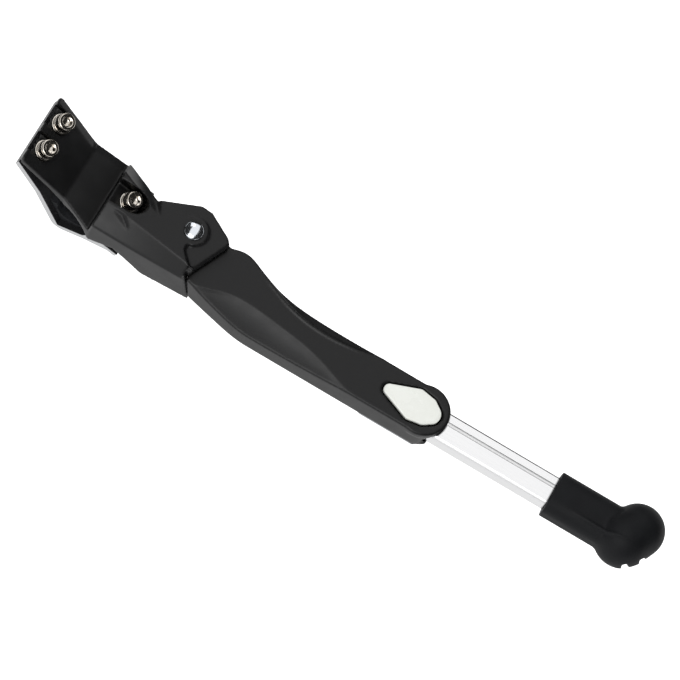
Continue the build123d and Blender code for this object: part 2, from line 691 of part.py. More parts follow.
def lock_washer(seat):
    """Split lock washer under a bolt's head."""
    with BuildPart() as washer:
        with BuildSketch(seat.offset(FLAT_WASHER_THICKNESS)):
            Circle(LOCK_WASHER_RADIUS)
            Circle(washer_hole, mode=Mode.SUBTRACT)
            with Locations((LOCK_WASHER_RADIUS, 0)):
                Rectangle(2 * LOCK_WASHER_RADIUS - BOLT_RADIUS, LOCK_WASHER_GAP, mode=Mode.SUBTRACT)
        extrude(amount=LOCK_WASHER_THICKNESS)
    return washer.part


upper_seats = [bolt_plane(x, upper_seat_out, UPPER_BOLT_RISE) for x in upper_bolt_x]
lower_seat = bolt_plane(lower_bolt_x, LOWER_SEAT_OUT, -LOWER_BOLT_DROP)

with BuildPart() as upper_clamp_bolts:
    for upper_seat in upper_seats:
        add(socket_bolt(upper_seat, upper_exit, upper_seat_out))
upper_clamp_bolts.part.label = "upper_clamp_bolts"
export_step(upper_clamp_bolts.part, "parts/upper_clamp_bolts.step")

with BuildPart() as upper_flat_washers:
    for upper_seat in upper_seats:
        add(flat_washer(upper_seat))
upper_flat_washers.part.label = "upper_flat_washers"
export_step(upper_flat_washers.part, "parts/upper_flat_washers.step")

with BuildPart() as upper_lock_washers:
    for upper_seat in upper_seats:
        add(lock_washer(upper_seat))
upper_lock_washers.part.label = "upper_lock_washers"
export_step(upper_lock_washers.part, "parts/upper_lock_washers.step")

with BuildPart() as lower_clamp_bolt:
    add(socket_bolt(lower_seat, lower_exit, LOWER_SEAT_OUT))
lower_clamp_bolt.part.label = "lower_clamp_bolt"
export_step(lower_clamp_bolt.part, "parts/lower_clamp_bolt.step")

with BuildPart() as lower_flat_washer:
    add(flat_washer(lower_seat))
lower_flat_washer.part.label = "lower_flat_washer"
export_step(lower_flat_washer.part, "parts/lower_flat_washer.step")

with BuildPart() as lower_lock_washer:
    add(lock_washer(lower_seat))
lower_lock_washer.part.label = "lower_lock_washer"
export_step(lower_lock_washer.part, "parts/lower_lock_washer.step")

# Pivot rivet: domed head on the lobe, shank through cheek and leg head, tail set over its washer
with BuildPart() as pivot_rivet:
    with BuildSketch(LEG_SIDE):
        with BuildLine():
            dome = ThreePointArc(
                (0, RIVET_HEAD_HEIGHT),
                (RIVET_DOME_SIDE, RIVET_DOME_HEIGHT),
                (RIVET_HEAD_RADIUS, RIVET_HEAD_RIM),
            )
            Polyline(
                dome @ 1,
                (RIVET_HEAD_RADIUS, 0),
                (RIVET_RADIUS, 0),
                (RIVET_RADIUS, tail_start),
                (RIVET_TAIL_RADIUS, tail_start),
                (RIVET_TAIL_TIP, tail_start - RIVET_TAIL_HEIGHT),
                (0, tail_start - RIVET_TAIL_HEIGHT),
                (0, RIVET_HEAD_HEIGHT),
            )
        make_face()
    revolve(axis=HINGE)
pivot_rivet.part.label = "pivot_rivet"
export_step(pivot_rivet.part, "parts/pivot_rivet.step")

with BuildPart() as pivot_washer:
    with BuildSketch(LEG.offset(sleeve_front)):
        Circle(PIVOT_WASHER_RADIUS)
        Circle(RIVET_RADIUS + RUNNING_CLEARANCE, mode=Mode.SUBTRACT)
    extrude(amount=PIVOT_WASHER_THICKNESS)
pivot_washer.part.label = "pivot_washer"
export_step(pivot_washer.part, "parts/pivot_washer.step")

with BuildPart() as rivet_tail_washer:
    with BuildSketch(LEG.offset(tail_start)):
        Circle(TAIL_WASHER_RADIUS)
        Circle(RIVET_RADIUS + RUNNING_CLEARANCE, mode=Mode.SUBTRACT)
    extrude(amount=TAIL_WASHER_THICKNESS)
rivet_tail_washer.part.label = "rivet_tail_washer"
export_step(rivet_tail_washer.part, "parts/rivet_tail_washer.step")

with BuildPart() as pivot_bush:
    with BuildSketch(LEG.offset(head_back)):
        Circle(bush_radius)
        Circle(RIVET_RADIUS + RUNNING_CLEARANCE, mode=Mode.SUBTRACT)
    extrude(amount=HEAD_THICKNESS)
pivot_bush.part.label = "pivot_bush"
export_step(pivot_bush.part, "parts/pivot_bush.step")

# Leg sleeve: flat head on the pivot, sculpted body, tube channel, spring pocket and button opening


def button_outline():
    """Draws the teardrop outline of the release button, narrow end uphill."""
    middle = -SLEEVE_OFFSET
    Polygon(
        (BUTTON_TIP, middle - BUTTON_TIP_HALF),
        (button_shoulder, middle - BUTTON_SHOULDER_HALF),
        (button_hip, middle - BUTTON_HIP_HALF),
        (button_end, middle - BUTTON_END_HALF),
        (button_end, middle + BUTTON_END_HALF),
        (button_hip, middle + BUTTON_HIP_HALF),
        (button_shoulder, middle + BUTTON_SHOULDER_HALF),
        (BUTTON_TIP, middle + BUTTON_TIP_HALF),
        align=None,
    )


# Scallop along the sleeve's fore edge and bevel along its rear edge.
# Each row gives the distance down the leg, the side of the cut at the front face, its side at the edge,
# and its depth there.
scallop_rows = [
    (9.0, 20.3, 20.6, 0.2),
    (22.0, 17.6, 23.6, 2.2),
    (39.0, 14.8, 27.5, 3.6),
    (56.0, 16.5, -sleeve_fore, 3.6),
    (72.0, 18.8, -sleeve_fore, 3.0),
    (84.0, 22.0, -sleeve_fore, 2.0),
    (97.0, 26.6, -sleeve_fore, 0.7),
    (103.0, 28.0, -sleeve_fore, 0.1),
]
sickle_rows = [
    (35.0, -3.0, -3.6, 0.1),
    (46.0, 1.7, 0.3, 0.7),
    (55.0, 5.3, 2.0, 1.5),
    (66.0, 7.8, 3.4, 1.8),
    (78.0, 8.6, 3.7, 1.8),
    (91.0, 7.6, 4.1, 1.3),
    (109.0, 4.8, 4.2, 0.1),
]
screw_places = [
    (LEAF_START + SCREW_INSET, -SLEEVE_OFFSET - SCREW_SPACING / 2),
    (LEAF_START + SCREW_INSET, -SLEEVE_OFFSET + SCREW_SPACING / 2),
]


def below_shoulder(edge):
    """True for an edge of the sleeve's outline that lies below its shoulder."""
    return LEG.to_local_coords(edge.center()).X > SHOULDER_START + SLEEVE_FRONT_EDGE


with BuildPart() as leg_sleeve:
    with BuildSketch(LEG.offset(sleeve_back)):
        with BuildLine():
            flare = Spline(
                (FLARE_START, FLARE_START_SIDE),
                (FLARE_END, FLARE_SIDE),
                (FLARE_MIDDLE, FLARE_MIDDLE_SIDE),
                (FLARE_WAIST, FLARE_WAIST_SIDE),
                (FLARE_NECK, FLARE_NECK_SIDE),
                (FLARE_TAIL, sleeve_rear),
                tangents=((1, FLARE_RISE), (1, 0)),
                tangent_scalars=(1, FLARE_EASE),
            )
            rear = Line(flare @ 1, (sleeve_end - end_radius, sleeve_rear))
            round_end = ThreePointArc(
                rear @ 1, (sleeve_end, -SLEEVE_OFFSET), (sleeve_end - end_radius, sleeve_fore)
            )
            fore = Line(round_end @ 1, (TAPER_END, sleeve_fore))
            taper = Spline(
                fore @ 1,
                (TAPER_MIDDLE, -TAPER_MIDDLE_SIDE),
                (SHOULDER_START, -SHOULDER_SIDE),
                tangents=((-1, 0), (-1, TAPER_RISE)),
            )
            flare_root = FLARE_START_SIDE - FLARE_RISE * (FLARE_START - SHOULDER_START)
            Polyline(taper @ 1, (SHOULDER_START, flare_root), flare @ 0)
        make_face()
    extrude(amount=sleeve_depth)
    # Rounded back edges
    outward = Axis(PIVOT, OUT)
    back_edges = leg_sleeve.faces().sort_by(outward)[0].edges()
    fillet(back_edges.filter_by(below_shoulder), SLEEVE_BACK_EDGE)
    # Thin upper end with the round head on the pivot
    with BuildSketch(LEG.offset(head_back)):
        Polygon(
            (-THROUGH, THROUGH),
            (POCKET_MOUTH, THROUGH),
            (POCKET_MOUTH, POCKET_MOUTH_SIDE),
            (POCKET_START, wall_inner + STOP_CLEARANCE),
            (-THROUGH, wall_inner + STOP_CLEARANCE),
            align=None,
        )
    extrude(amount=-THROUGH, mode=Mode.SUBTRACT)
    with BuildSketch(LEG.offset(head_back)):
        with BuildLine():
            head = ThreePointArc((0, -HEAD_RADIUS), (-HEAD_RADIUS, 0), (0, HEAD_RADIUS))
            Polyline(
                head @ 1,
                (FLARE_START, FLARE_START_SIDE),
                (FLARE_START, wall_inner + STOP_CLEARANCE),
                (SHOULDER_START, wall_inner + STOP_CLEARANCE),
                head @ 0,
            )
        make_face()
    extrude(amount=HEAD_THICKNESS)
    # Round end, a little wider than the sleeve
    with BuildSketch(LEG.offset(channel_front)):
        with Locations((sleeve_end - END_DISC_RADIUS + END_DISC_SHIFT, -SLEEVE_OFFSET + END_DISC_SHIFT)):
            Circle(END_DISC_RADIUS)
    extrude(amount=SLEEVE_FRONT_WALL)
    # Fine edge along the front
    front_edges = leg_sleeve.faces().sort_by(outward)[-1].edges()
    fillet(front_edges.filter_by(below_shoulder), SLEEVE_FRONT_EDGE)
    # Leaf shaped scallop along the fore edge
    for along, inner_side, outer_side, depth in scallop_rows:
        with BuildSketch(leg_section(along)):
            with BuildLine():
                slope = depth / (outer_side - inner_side)
                run_out = depth + slope * EDGE_OVERRUN * SCALLOP_RUN_OUT
                low = (-outer_side - EDGE_OVERRUN, sleeve_front - run_out)
                high = (-inner_side, sleeve_front)
                roll_side = -inner_side - (outer_side - inner_side) * SCALLOP_ROLL_SIDE
                Bezier(high, (roll_side, sleeve_front - depth * SCALLOP_ROLL_DEPTH), low)
                Polyline(low, (low[0], sleeve_front + EDGE_OVERRUN), (high[0], sleeve_front + EDGE_OVERRUN), high)
            make_face()
    loft(mode=Mode.SUBTRACT)
    # Sickle shaped bevel along the rear edge
    for along, inner_side, outer_side, depth in sickle_rows:
        with BuildSketch(leg_section(along)):
            slope = depth / (inner_side - outer_side)
            edge = -outer_side + EDGE_OVERRUN
            Polygon(
                (-inner_side, sleeve_front),
                (edge, sleeve_front - depth - slope * EDGE_OVERRUN),
                (edge, sleeve_front + EDGE_OVERRUN),
                (-inner_side, sleeve_front + EDGE_OVERRUN),
                align=None,
            )
    loft(mode=Mode.SUBTRACT)
    # Slanted shoulder that meets the bracket's side wall
    with BuildSketch(LEG_SIDE.offset(-wall_inner - STOP_CLEARANCE)):
        Polygon(
            (WALL_END_FRONT + STOP_CLEARANCE, 0),
            (WALL_END_FRONT + STOP_CLEARANCE + wall_slope * THROUGH, -THROUGH),
            (-THROUGH, -THROUGH),
            (-THROUGH, 0),
            align=None,
        )
    extrude(amount=THROUGH, mode=Mode.SUBTRACT)
    # Spring pocket, open at the back and towards the pivot
    with BuildSketch(LEG.offset(sleeve_front - POCKET_FRONT_WALL)):
        Polygon(
            (POCKET_START, wall_inner + STOP_CLEARANCE),
            (TAPER_MIDDLE, -TAPER_MIDDLE_SIDE + SLEEVE_SIDE_WALL),
            (TAPER_END, sleeve_fore + SLEEVE_SIDE_WALL),
            (POCKET_END, sleeve_fore + SLEEVE_SIDE_WALL),
            (POCKET_END, sleeve_rear - SLEEVE_SIDE_WALL),
            (POCKET_BEND, sleeve_rear - SLEEVE_SIDE_WALL),
            (POCKET_MOUTH, POCKET_MOUTH_SIDE),
            (POCKET_START, FLARE_SIDE - SLEEVE_SIDE_WALL),
            align=None,
        )
    extrude(amount=-THROUGH, mode=Mode.SUBTRACT)
    # Bore for the pivot bush
    with BuildSketch(LEG.offset(sleeve_front)):
        Circle(bush_radius)
    extrude(amount=-HEAD_THICKNESS, mode=Mode.SUBTRACT)
    # Tube channel, and the side walls cut back in a hollow curve under the round front end
    with BuildSketch(leg_section(CHANNEL_START)):
        with Locations((-SLEEVE_OFFSET, tube_axis)):
            RectangleRounded(channel_width, channel_depth, TUBE_CORNER + CHANNEL_CLEARANCE)
    extrude(amount=THROUGH, mode=Mode.SUBTRACT)
    hollow_radius = channel_front - tube_axis
    with BuildSketch(LEG_SIDE.offset(-THROUGH / 2)):
        with Locations((TONGUE_START + hollow_radius, tube_axis)):
            Circle(hollow_radius)
        with Locations((TONGUE_START + hollow_radius + THROUGH / 2, tube_axis)):
            Rectangle(THROUGH, 2 * hollow_radius)
        with Locations((TONGUE_START + hollow_radius / 2 + THROUGH / 2, tube_axis - THROUGH / 2)):
            Rectangle(THROUGH, THROUGH)
    extrude(amount=THROUGH, mode=Mode.SUBTRACT)
    # Button opening, latch pin hole and leaf spring screw holes
    with BuildSketch(LEG.offset(sleeve_front + CUT_MARGIN)):
        button_outline()
        offset(amount=BUTTON_CLEARANCE)
    extrude(amount=-SLEEVE_FRONT_WALL - 2 * CUT_MARGIN, mode=Mode.SUBTRACT)
    with BuildSketch(LEG.offset(tube_axis)):
        with Locations((latch_along, -SLEEVE_OFFSET)):
            Circle(LATCH_PIN_RADIUS + RUNNING_CLEARANCE)
    extrude(amount=-THROUGH, mode=Mode.SUBTRACT)
    with BuildSketch(LEG.offset(sleeve_back)):
        with Locations(*screw_places):
            Circle(SCREW_RADIUS)
    extrude(amount=SLEEVE_BACK_WALL, mode=Mode.SUBTRACT)
    # Seat for the spring post
    with BuildSketch(LEG.offset(sleeve_front - POCKET_FRONT_WALL)):
        with Locations(post):
            Circle(SPRING_PIN_RADIUS)
    extrude(amount=SPRING_PIN_SEAT, mode=Mode.SUBTRACT)
leg_sleeve.part.label = "leg_sleeve"
export_step(leg_sleeve.part, "parts/leg_sleeve.step")


def spring_pin(place, level):
    """Headed pin that stands back from a level and carries one hook of the toggle spring."""
    end = -SPRING_AXIS_DEPTH - SPRING_WIRE_RADIUS - SPRING_HOOK_CLEARANCE
    with BuildPart() as pin:
        with BuildSketch(LEG.offset(level + SPRING_PIN_SEAT)):
            with Locations(place):
                Circle(SPRING_PIN_RADIUS)
        extrude(amount=end - level - SPRING_PIN_SEAT)
        with BuildSketch(LEG.offset(end)):
            with Locations(place):
                Circle(SPRING_PIN_HEAD_RADIUS)
        extrude(amount=-SPRING_PIN_HEAD_HEIGHT)
    return pin.part


with BuildPart() as spring_anchor_pin:
    add(spring_pin(anchor, -CHEEK_BACK))
spring_anchor_pin.part.label = "spring_anchor_pin"
export_step(spring_anchor_pin.part, "parts/spring_anchor_pin.step")

with BuildPart() as spring_post:
    add(spring_pin(post, sleeve_front - POCKET_FRONT_WALL))
spring_post.part.label = "spring_post"
export_step(spring_post.part, "parts/spring_post.step")

# Toggle spring: close coils between two hooks that ring the pins
spring_origin = LEG.from_local_coords((anchor[0], anchor[1], -SPRING_AXIS_DEPTH))
spring_along = DOWN * spring_span.X + Vector(1, 0, 0) * spring_span.Y
SPRING = Plane(origin=spring_origin, x_dir=spring_along, z_dir=OUT)
hook_radius = SPRING_PIN_RADIUS + SPRING_HOOK_CLEARANCE + SPRING_WIRE_RADIUS
coil_length = spring_length - 2 * SPRING_HOOK_LENGTH
coil_pitch = coil_length / SPRING_COILS
coil_waist = SPRING_COIL_RADIUS - SPRING_WIRE_RADIUS
with BuildPart() as toggle_spring:
    with BuildSketch(SPRING):
        with BuildLine():
            zigzag = [(SPRING_HOOK_LENGTH, 0), (SPRING_HOOK_LENGTH, coil_waist)]
            for turn in range(SPRING_COILS):
                crest = SPRING_HOOK_LENGTH + (turn + 0.5) * coil_pitch
                zigzag.append((crest, SPRING_COIL_RADIUS))
                zigzag.append((crest + coil_pitch / 2, coil_waist))
            zigzag.append((spring_length - SPRING_HOOK_LENGTH, 0))
            Polyline(*zigzag, close=True)
        make_face()
    revolve(axis=Axis(SPRING.origin, SPRING.x_dir))
    for place, towards in ((0, 1), (spring_length, -1)):
        with Locations(SPRING * Location((place, 0, 0))):
            Torus(hook_radius, SPRING_WIRE_RADIUS)
        shank_start = SPRING.from_local_coords((place + towards * hook_radius, 0, 0))
        with BuildSketch(Plane(origin=shank_start, x_dir=SPRING.y_dir, z_dir=SPRING.x_dir)):
            Circle(SPRING_WIRE_RADIUS)
        extrude(amount=towards * (SPRING_HOOK_LENGTH - hook_radius))
toggle_spring.part.label = "toggle_spring"
export_step(toggle_spring.part, "parts/toggle_spring.step")

# Leaf spring on the sleeve's back that returns the latch pin, and its two screws
with BuildPart() as latch_spring:
    with BuildSketch(LEG.offset(sleeve_back)):
        with Locations((LEAF_START + LEAF_LENGTH / 2, -SLEEVE_OFFSET)):
            RectangleRounded(LEAF_LENGTH, LEAF_WIDTH, LEAF_CORNER)
        with Locations(*screw_places):
            Circle(SCREW_RADIUS + SCREW_CLEARANCE, mode=Mode.SUBTRACT)
    extrude(amount=-LEAF_THICKNESS)
latch_spring.part.label = "latch_spring"
export_step(latch_spring.part, "parts/latch_spring.step")

with BuildPart() as latch_screws:
    with BuildSketch(LEG.offset(sleeve_back - LEAF_THICKNESS)):
        with Locations(*screw_places):
            Circle(SCREW_HEAD_RADIUS)
    extrude(amount=-SCREW_HEAD_HEIGHT)
    with BuildSketch(LEG.offset(sleeve_back - LEAF_THICKNESS)):
        with Locations(*screw_places):
            Circle(SCREW_RADIUS)
    extrude(amount=LEAF_THICKNESS + SLEEVE_BACK_WALL)
latch_screws.part.label = "latch_screws"
export_step(latch_screws.part, "parts/latch_screws.step")

# Teardrop release button and the latch pin behind it
button_front = sleeve_front + BUTTON_PROUD
button_back = button_front - BUTTON_THICKNESS
with BuildPart() as release_button:
    with BuildSketch(LEG.offset(button_front)) as button_face:
        button_outline()
        fillet(button_face.vertices(), BUTTON_CORNER)
    extrude(amount=-BUTTON_THICKNESS)
    fillet(release_button.faces().sort_by(Axis(PIVOT, OUT))[-1].edges(), BUTTON_EDGE)
release_button.part.label = "release_button"
export_step(release_button.part, "parts/release_button.step")

with BuildPart() as latch_pin:
    with BuildSketch(LEG.offset(button_back)):
        with Locations((latch_along, -SLEEVE_OFFSET)):
            Circle(LATCH_PIN_RADIUS)
    extrude(amount=sleeve_back - button_back)
    with BuildSketch(LEG.offset(tube_front - TUBE_WALL - LATCH_COLLAR_GAP)):
        with Locations((latch_along, -SLEEVE_OFFSET)):
            Circle(LATCH_COLLAR_RADIUS)
    extrude(amount=-LATCH_COLLAR_HEIGHT)
latch_pin.part.label = "latch_pin"
export_step(latch_pin.part, "parts/latch_pin.step")

# Sliding tube with a row of keyhole stations in its front wall and a plain slot in its back wall
with BuildPart() as leg_tube:
    with BuildSketch(leg_section(TUBE_START)):
        with Locations((-SLEEVE_OFFSET, tube_axis)):
            RectangleRounded(TUBE_WIDTH, TUBE_DEPTH, TUBE_CORNER)
            RectangleRounded(
                TUBE_WIDTH - 2 * TUBE_WALL,
                TUBE_DEPTH - 2 * TUBE_WALL,
                TUBE_CORNER - TUBE_WALL,
                mode=Mode.SUBTRACT,
            )
    extrude(amount=TUBE_LENGTH)
    # Shallow guide groove along the front
    with BuildSketch(leg_section(TUBE_START)):
        with Locations((-SLEEVE_OFFSET + GROOVE_SHIFT, tube_front)):
            Rectangle(GROOVE_WIDTH, 2 * GROOVE_DEPTH)
    extrude(amount=TUBE_LENGTH, mode=Mode.SUBTRACT)
    # Keyhole stations and slot
    with BuildSketch(LEG.offset(tube_axis - TUBE_DEPTH)):
        with Locations((latch_along - TUBE_TRAVEL / 2, -SLEEVE_OFFSET)):
            SlotCenterToCenter(TUBE_TRAVEL, 2 * slot_radius)
    extrude(amount=2 * TUBE_DEPTH, mode=Mode.SUBTRACT)
    with BuildSketch(LEG.offset(tube_axis)):
        for station in range(TUBE_STATIONS):
            with Locations((latch_along - station * station_pitch, -SLEEVE_OFFSET)):
                Circle(LATCH_COLLAR_RADIUS + TUBE_SLOT_CLEARANCE)
    extrude(amount=TUBE_DEPTH, mode=Mode.SUBTRACT)
leg_tube.part.label = "leg_tube"
export_step(leg_tube.part, "parts/leg_tube.step")

# Moulded plug in the tube's upper end
with BuildPart() as tube_plug:
    with BuildSketch(leg_section(TUBE_START)):
        with Locations((-SLEEVE_OFFSET, tube_axis)):
            RectangleRounded(TUBE_WIDTH - PLUG_INSET, TUBE_DEPTH - PLUG_INSET, TUBE_CORNER - PLUG_INSET / 2)
    extrude(amount=-PLUG_FLANGE)
    with BuildSketch(leg_section(TUBE_START)):
        with Locations((-SLEEVE_OFFSET, tube_axis)):
            RectangleRounded(
                TUBE_WIDTH - 2 * TUBE_WALL, TUBE_DEPTH - 2 * TUBE_WALL, TUBE_CORNER - TUBE_WALL
            )
    extrude(amount=PLUG_LENGTH)
tube_plug.part.label = "tube_plug"
export_step(tube_plug.part, "parts/tube_plug.step")

# Rubber foot: sleeve over the tube's end and a bulb with a tilted, grooved sole
toe = LEG.from_local_coords((tube_end + TOE_BEYOND, -SLEEVE_OFFSET + TOE_SHIFT, tube_axis))
heel = LEG.from_local_coords((tube_end + HEEL_BEYOND, -SLEEVE_OFFSET + HEEL_SHIFT, tube_axis))
bulb_span = (heel - toe).length
bulb_lean = -degrees(asin((TOE_RADIUS - HEEL_RADIUS) / bulb_span))
sole_normal = (DOWN * SOLE_DOWN - Vector(1, 0, 0) * SOLE_FORWARD - OUT * SOLE_INWARD).normalized()
tread_run = OUT * cos(radians(TREAD_LEAN)) - Vector(1, 0, 0) * sin(radians(TREAD_LEAN))
sole_across = (tread_run - sole_normal * tread_run.dot(sole_normal)).normalized()
SOLE = Plane(origin=toe + sole_normal * SOLE_DISTANCE, x_dir=sole_across, z_dir=sole_normal)
with BuildPart() as rubber_foot:
    with BuildSketch(leg_section(boot_start)):
        with Locations((-SLEEVE_OFFSET, tube_axis)):
            RectangleRounded(BOOT_WIDTH, BOOT_DEPTH, BOOT_CORNER)
    extrude(amount=BOOT_GRIP + TOE_BEYOND)
    with BuildSketch(Plane(origin=toe, x_dir=heel - toe, z_dir=OUT)):
        with BuildLine():
            toe_arc = CenterArc((0, 0), TOE_RADIUS, 180, bulb_lean - 90)
            heel_arc = CenterArc((bulb_span, 0), HEEL_RADIUS, 90 + bulb_lean, -90 - bulb_lean)
            Polyline(toe_arc @ 1, heel_arc @ 0)
            Polyline(heel_arc @ 1, toe_arc @ 0)
        make_face()
    revolve(axis=Axis(toe, heel - toe))
    with BuildSketch(SOLE):
        Rectangle(THROUGH, THROUGH)
    extrude(amount=THROUGH, mode=Mode.SUBTRACT)
    with BuildSketch(SOLE):
        with Locations((0, TREAD_SHIFT)):
            with GridLocations(0, TREAD_SPACING, 1, TREAD_COUNT):
                Rectangle(THROUGH, TREAD_WIDTH)
    extrude(amount=-TREAD_DEPTH, mode=Mode.SUBTRACT)
    with BuildSketch(leg_section(boot_start)):
        with Locations((-SLEEVE_OFFSET, tube_axis)):
            RectangleRounded(TUBE_WIDTH, TUBE_DEPTH, TUBE_CORNER)
    extrude(amount=BOOT_GRIP, mode=Mode.SUBTRACT)
rubber_foot.part.label = "rubber_foot"
export_step(rubber_foot.part, "parts/rubber_foot.step")
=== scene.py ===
"""Looks of a clamp-on bicycle kickstand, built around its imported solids."""

from __future__ import annotations

import json
import logging
import math
from dataclasses import dataclass, field
from enum import Enum
from typing import Callable, Iterable, NamedTuple, Sequence

import bmesh
import bpy
from mathutils import Matrix, Vector
from mathutils.bvhtree import BVHTree
from mathutils.kdtree import KDTree

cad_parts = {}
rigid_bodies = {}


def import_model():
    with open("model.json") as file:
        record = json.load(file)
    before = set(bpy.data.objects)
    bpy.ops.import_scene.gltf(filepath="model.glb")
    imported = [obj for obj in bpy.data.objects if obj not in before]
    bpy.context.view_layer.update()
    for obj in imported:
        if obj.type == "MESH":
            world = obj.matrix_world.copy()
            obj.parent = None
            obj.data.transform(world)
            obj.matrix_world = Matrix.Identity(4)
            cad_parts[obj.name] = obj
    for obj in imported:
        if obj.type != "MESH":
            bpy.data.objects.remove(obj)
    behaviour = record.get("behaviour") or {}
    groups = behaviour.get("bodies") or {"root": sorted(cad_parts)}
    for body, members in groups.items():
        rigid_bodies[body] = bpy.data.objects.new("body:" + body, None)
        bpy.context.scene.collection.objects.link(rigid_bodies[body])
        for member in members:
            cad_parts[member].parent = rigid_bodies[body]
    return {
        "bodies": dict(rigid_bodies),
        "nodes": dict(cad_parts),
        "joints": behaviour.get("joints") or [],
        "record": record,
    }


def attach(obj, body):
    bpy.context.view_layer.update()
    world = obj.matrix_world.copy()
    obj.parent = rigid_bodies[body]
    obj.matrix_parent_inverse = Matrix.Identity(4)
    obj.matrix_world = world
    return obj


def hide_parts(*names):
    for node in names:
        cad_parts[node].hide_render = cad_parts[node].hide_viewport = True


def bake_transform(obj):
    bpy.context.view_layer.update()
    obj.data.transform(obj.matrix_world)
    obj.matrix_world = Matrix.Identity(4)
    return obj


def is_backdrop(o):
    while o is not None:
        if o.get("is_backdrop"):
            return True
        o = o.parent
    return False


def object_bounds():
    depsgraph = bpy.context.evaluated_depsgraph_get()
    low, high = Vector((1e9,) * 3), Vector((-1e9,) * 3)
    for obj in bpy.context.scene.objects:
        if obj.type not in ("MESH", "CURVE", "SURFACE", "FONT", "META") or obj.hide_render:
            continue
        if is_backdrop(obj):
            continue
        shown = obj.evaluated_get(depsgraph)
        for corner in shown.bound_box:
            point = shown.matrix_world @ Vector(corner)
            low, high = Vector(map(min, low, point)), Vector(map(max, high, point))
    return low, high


LOG = logging.getLogger("kickstand")
MM = 0.001
FULL_TURN = 2 * math.pi
NOISE_LOW = 0.3
NOISE_HIGH = 0.7
THREAD_PITCH = 0.8
THREAD_DEPTH = 0.42
KNURL_DEPTH = 0.13
WELD_MM = 0.002
CLOUD_DETAIL = 4.0
GRAIN_DETAIL = 2.0
PATCH_DETAIL = 5.0
RELIEF_SHARE = 0.5
Colour = tuple[float, float, float]
Pair = tuple[float, float]
Triple = tuple[float, float, float]
Socket = bpy.types.NodeSocket


@dataclass(frozen=True)
class LegFrame:
    """Axes of the open leg: down along it, rearward across it, and outward from the bracket's front face.

    Attributes:
        splay: Lean of the leg away from the wheel, in radians.
        pivot: Place of the pivot on the bracket's front face, in millimetres.
    """

    splay: float = math.radians(18.5)
    pivot: Triple = (-2.0, -43.0, -42.0)

    @property
    def down(self) -> Vector:
        """Direction down the leg."""
        return Vector((0.0, -math.sin(self.splay), -math.cos(self.splay)))

    @property
    def rear(self) -> Vector:
        """Direction towards the back of the bicycle."""
        return Vector((1.0, 0.0, 0.0))

    @property
    def out(self) -> Vector:
        """Direction outward, along the pivot."""
        return Vector((0.0, -math.cos(self.splay), math.sin(self.splay)))

    def point(self, along: float, side: float, out: float) -> Vector:
        """Place in metres of a point given in millimetres down the leg, rearward and outward."""
        return (Vector(self.pivot) + self.down * along + self.rear * side + self.out * out) * MM

    def matrix(self) -> Matrix:
        """Transform from the leg's millimetres (down, rearward, outward) into the shared frame."""
        turn = Matrix((self.down, self.rear, self.out)).transposed().to_4x4()
        return Matrix.Translation(self.point(0.0, 0.0, 0.0)) @ turn @ Matrix.Scale(MM, 4)


LEG = LegFrame()


class Body(str, Enum):
    """Moving bodies of the stand."""

    BRACKET = "bracket"
    SPRING = "spring"
    LEG = "leg"
    BUTTON = "button"
    INNER_LEG = "inner_leg"


class Slot(str, Enum):
    """Material slots of the record that the new pieces belong to."""

    BLACK_CAST = "black_cast"
    NICKEL = "nickel"
    CHROME = "chrome"
    SPRING_STEEL = "spring_steel"
    BUTTON = "button"
    FOOT = "foot"


class Section(Enum):
    """Outlines of a turned piece's rows."""

    ROUND = "round"
    KNURL = "knurl"
    HEX = "hex"
    THREAD = "thread"


class Crease(Enum):
    """Angles between two faces, in degrees, from which their edge is a sharp one."""

    TURNED = 35.0
    BUTTON = 50.0
    WIRE = 60.0
    MOULDED = 75.0


class Row(NamedTuple):
    """One row of a turned piece.

    Attributes:
        radius: Radius in millimetres; half the width across flats for a hexagon, 0 for a tip.
        height: Height along the axis in millimetres.
        section: Outline of the row.
    """

    radius: float
    height: float
    section: Section = Section.ROUND


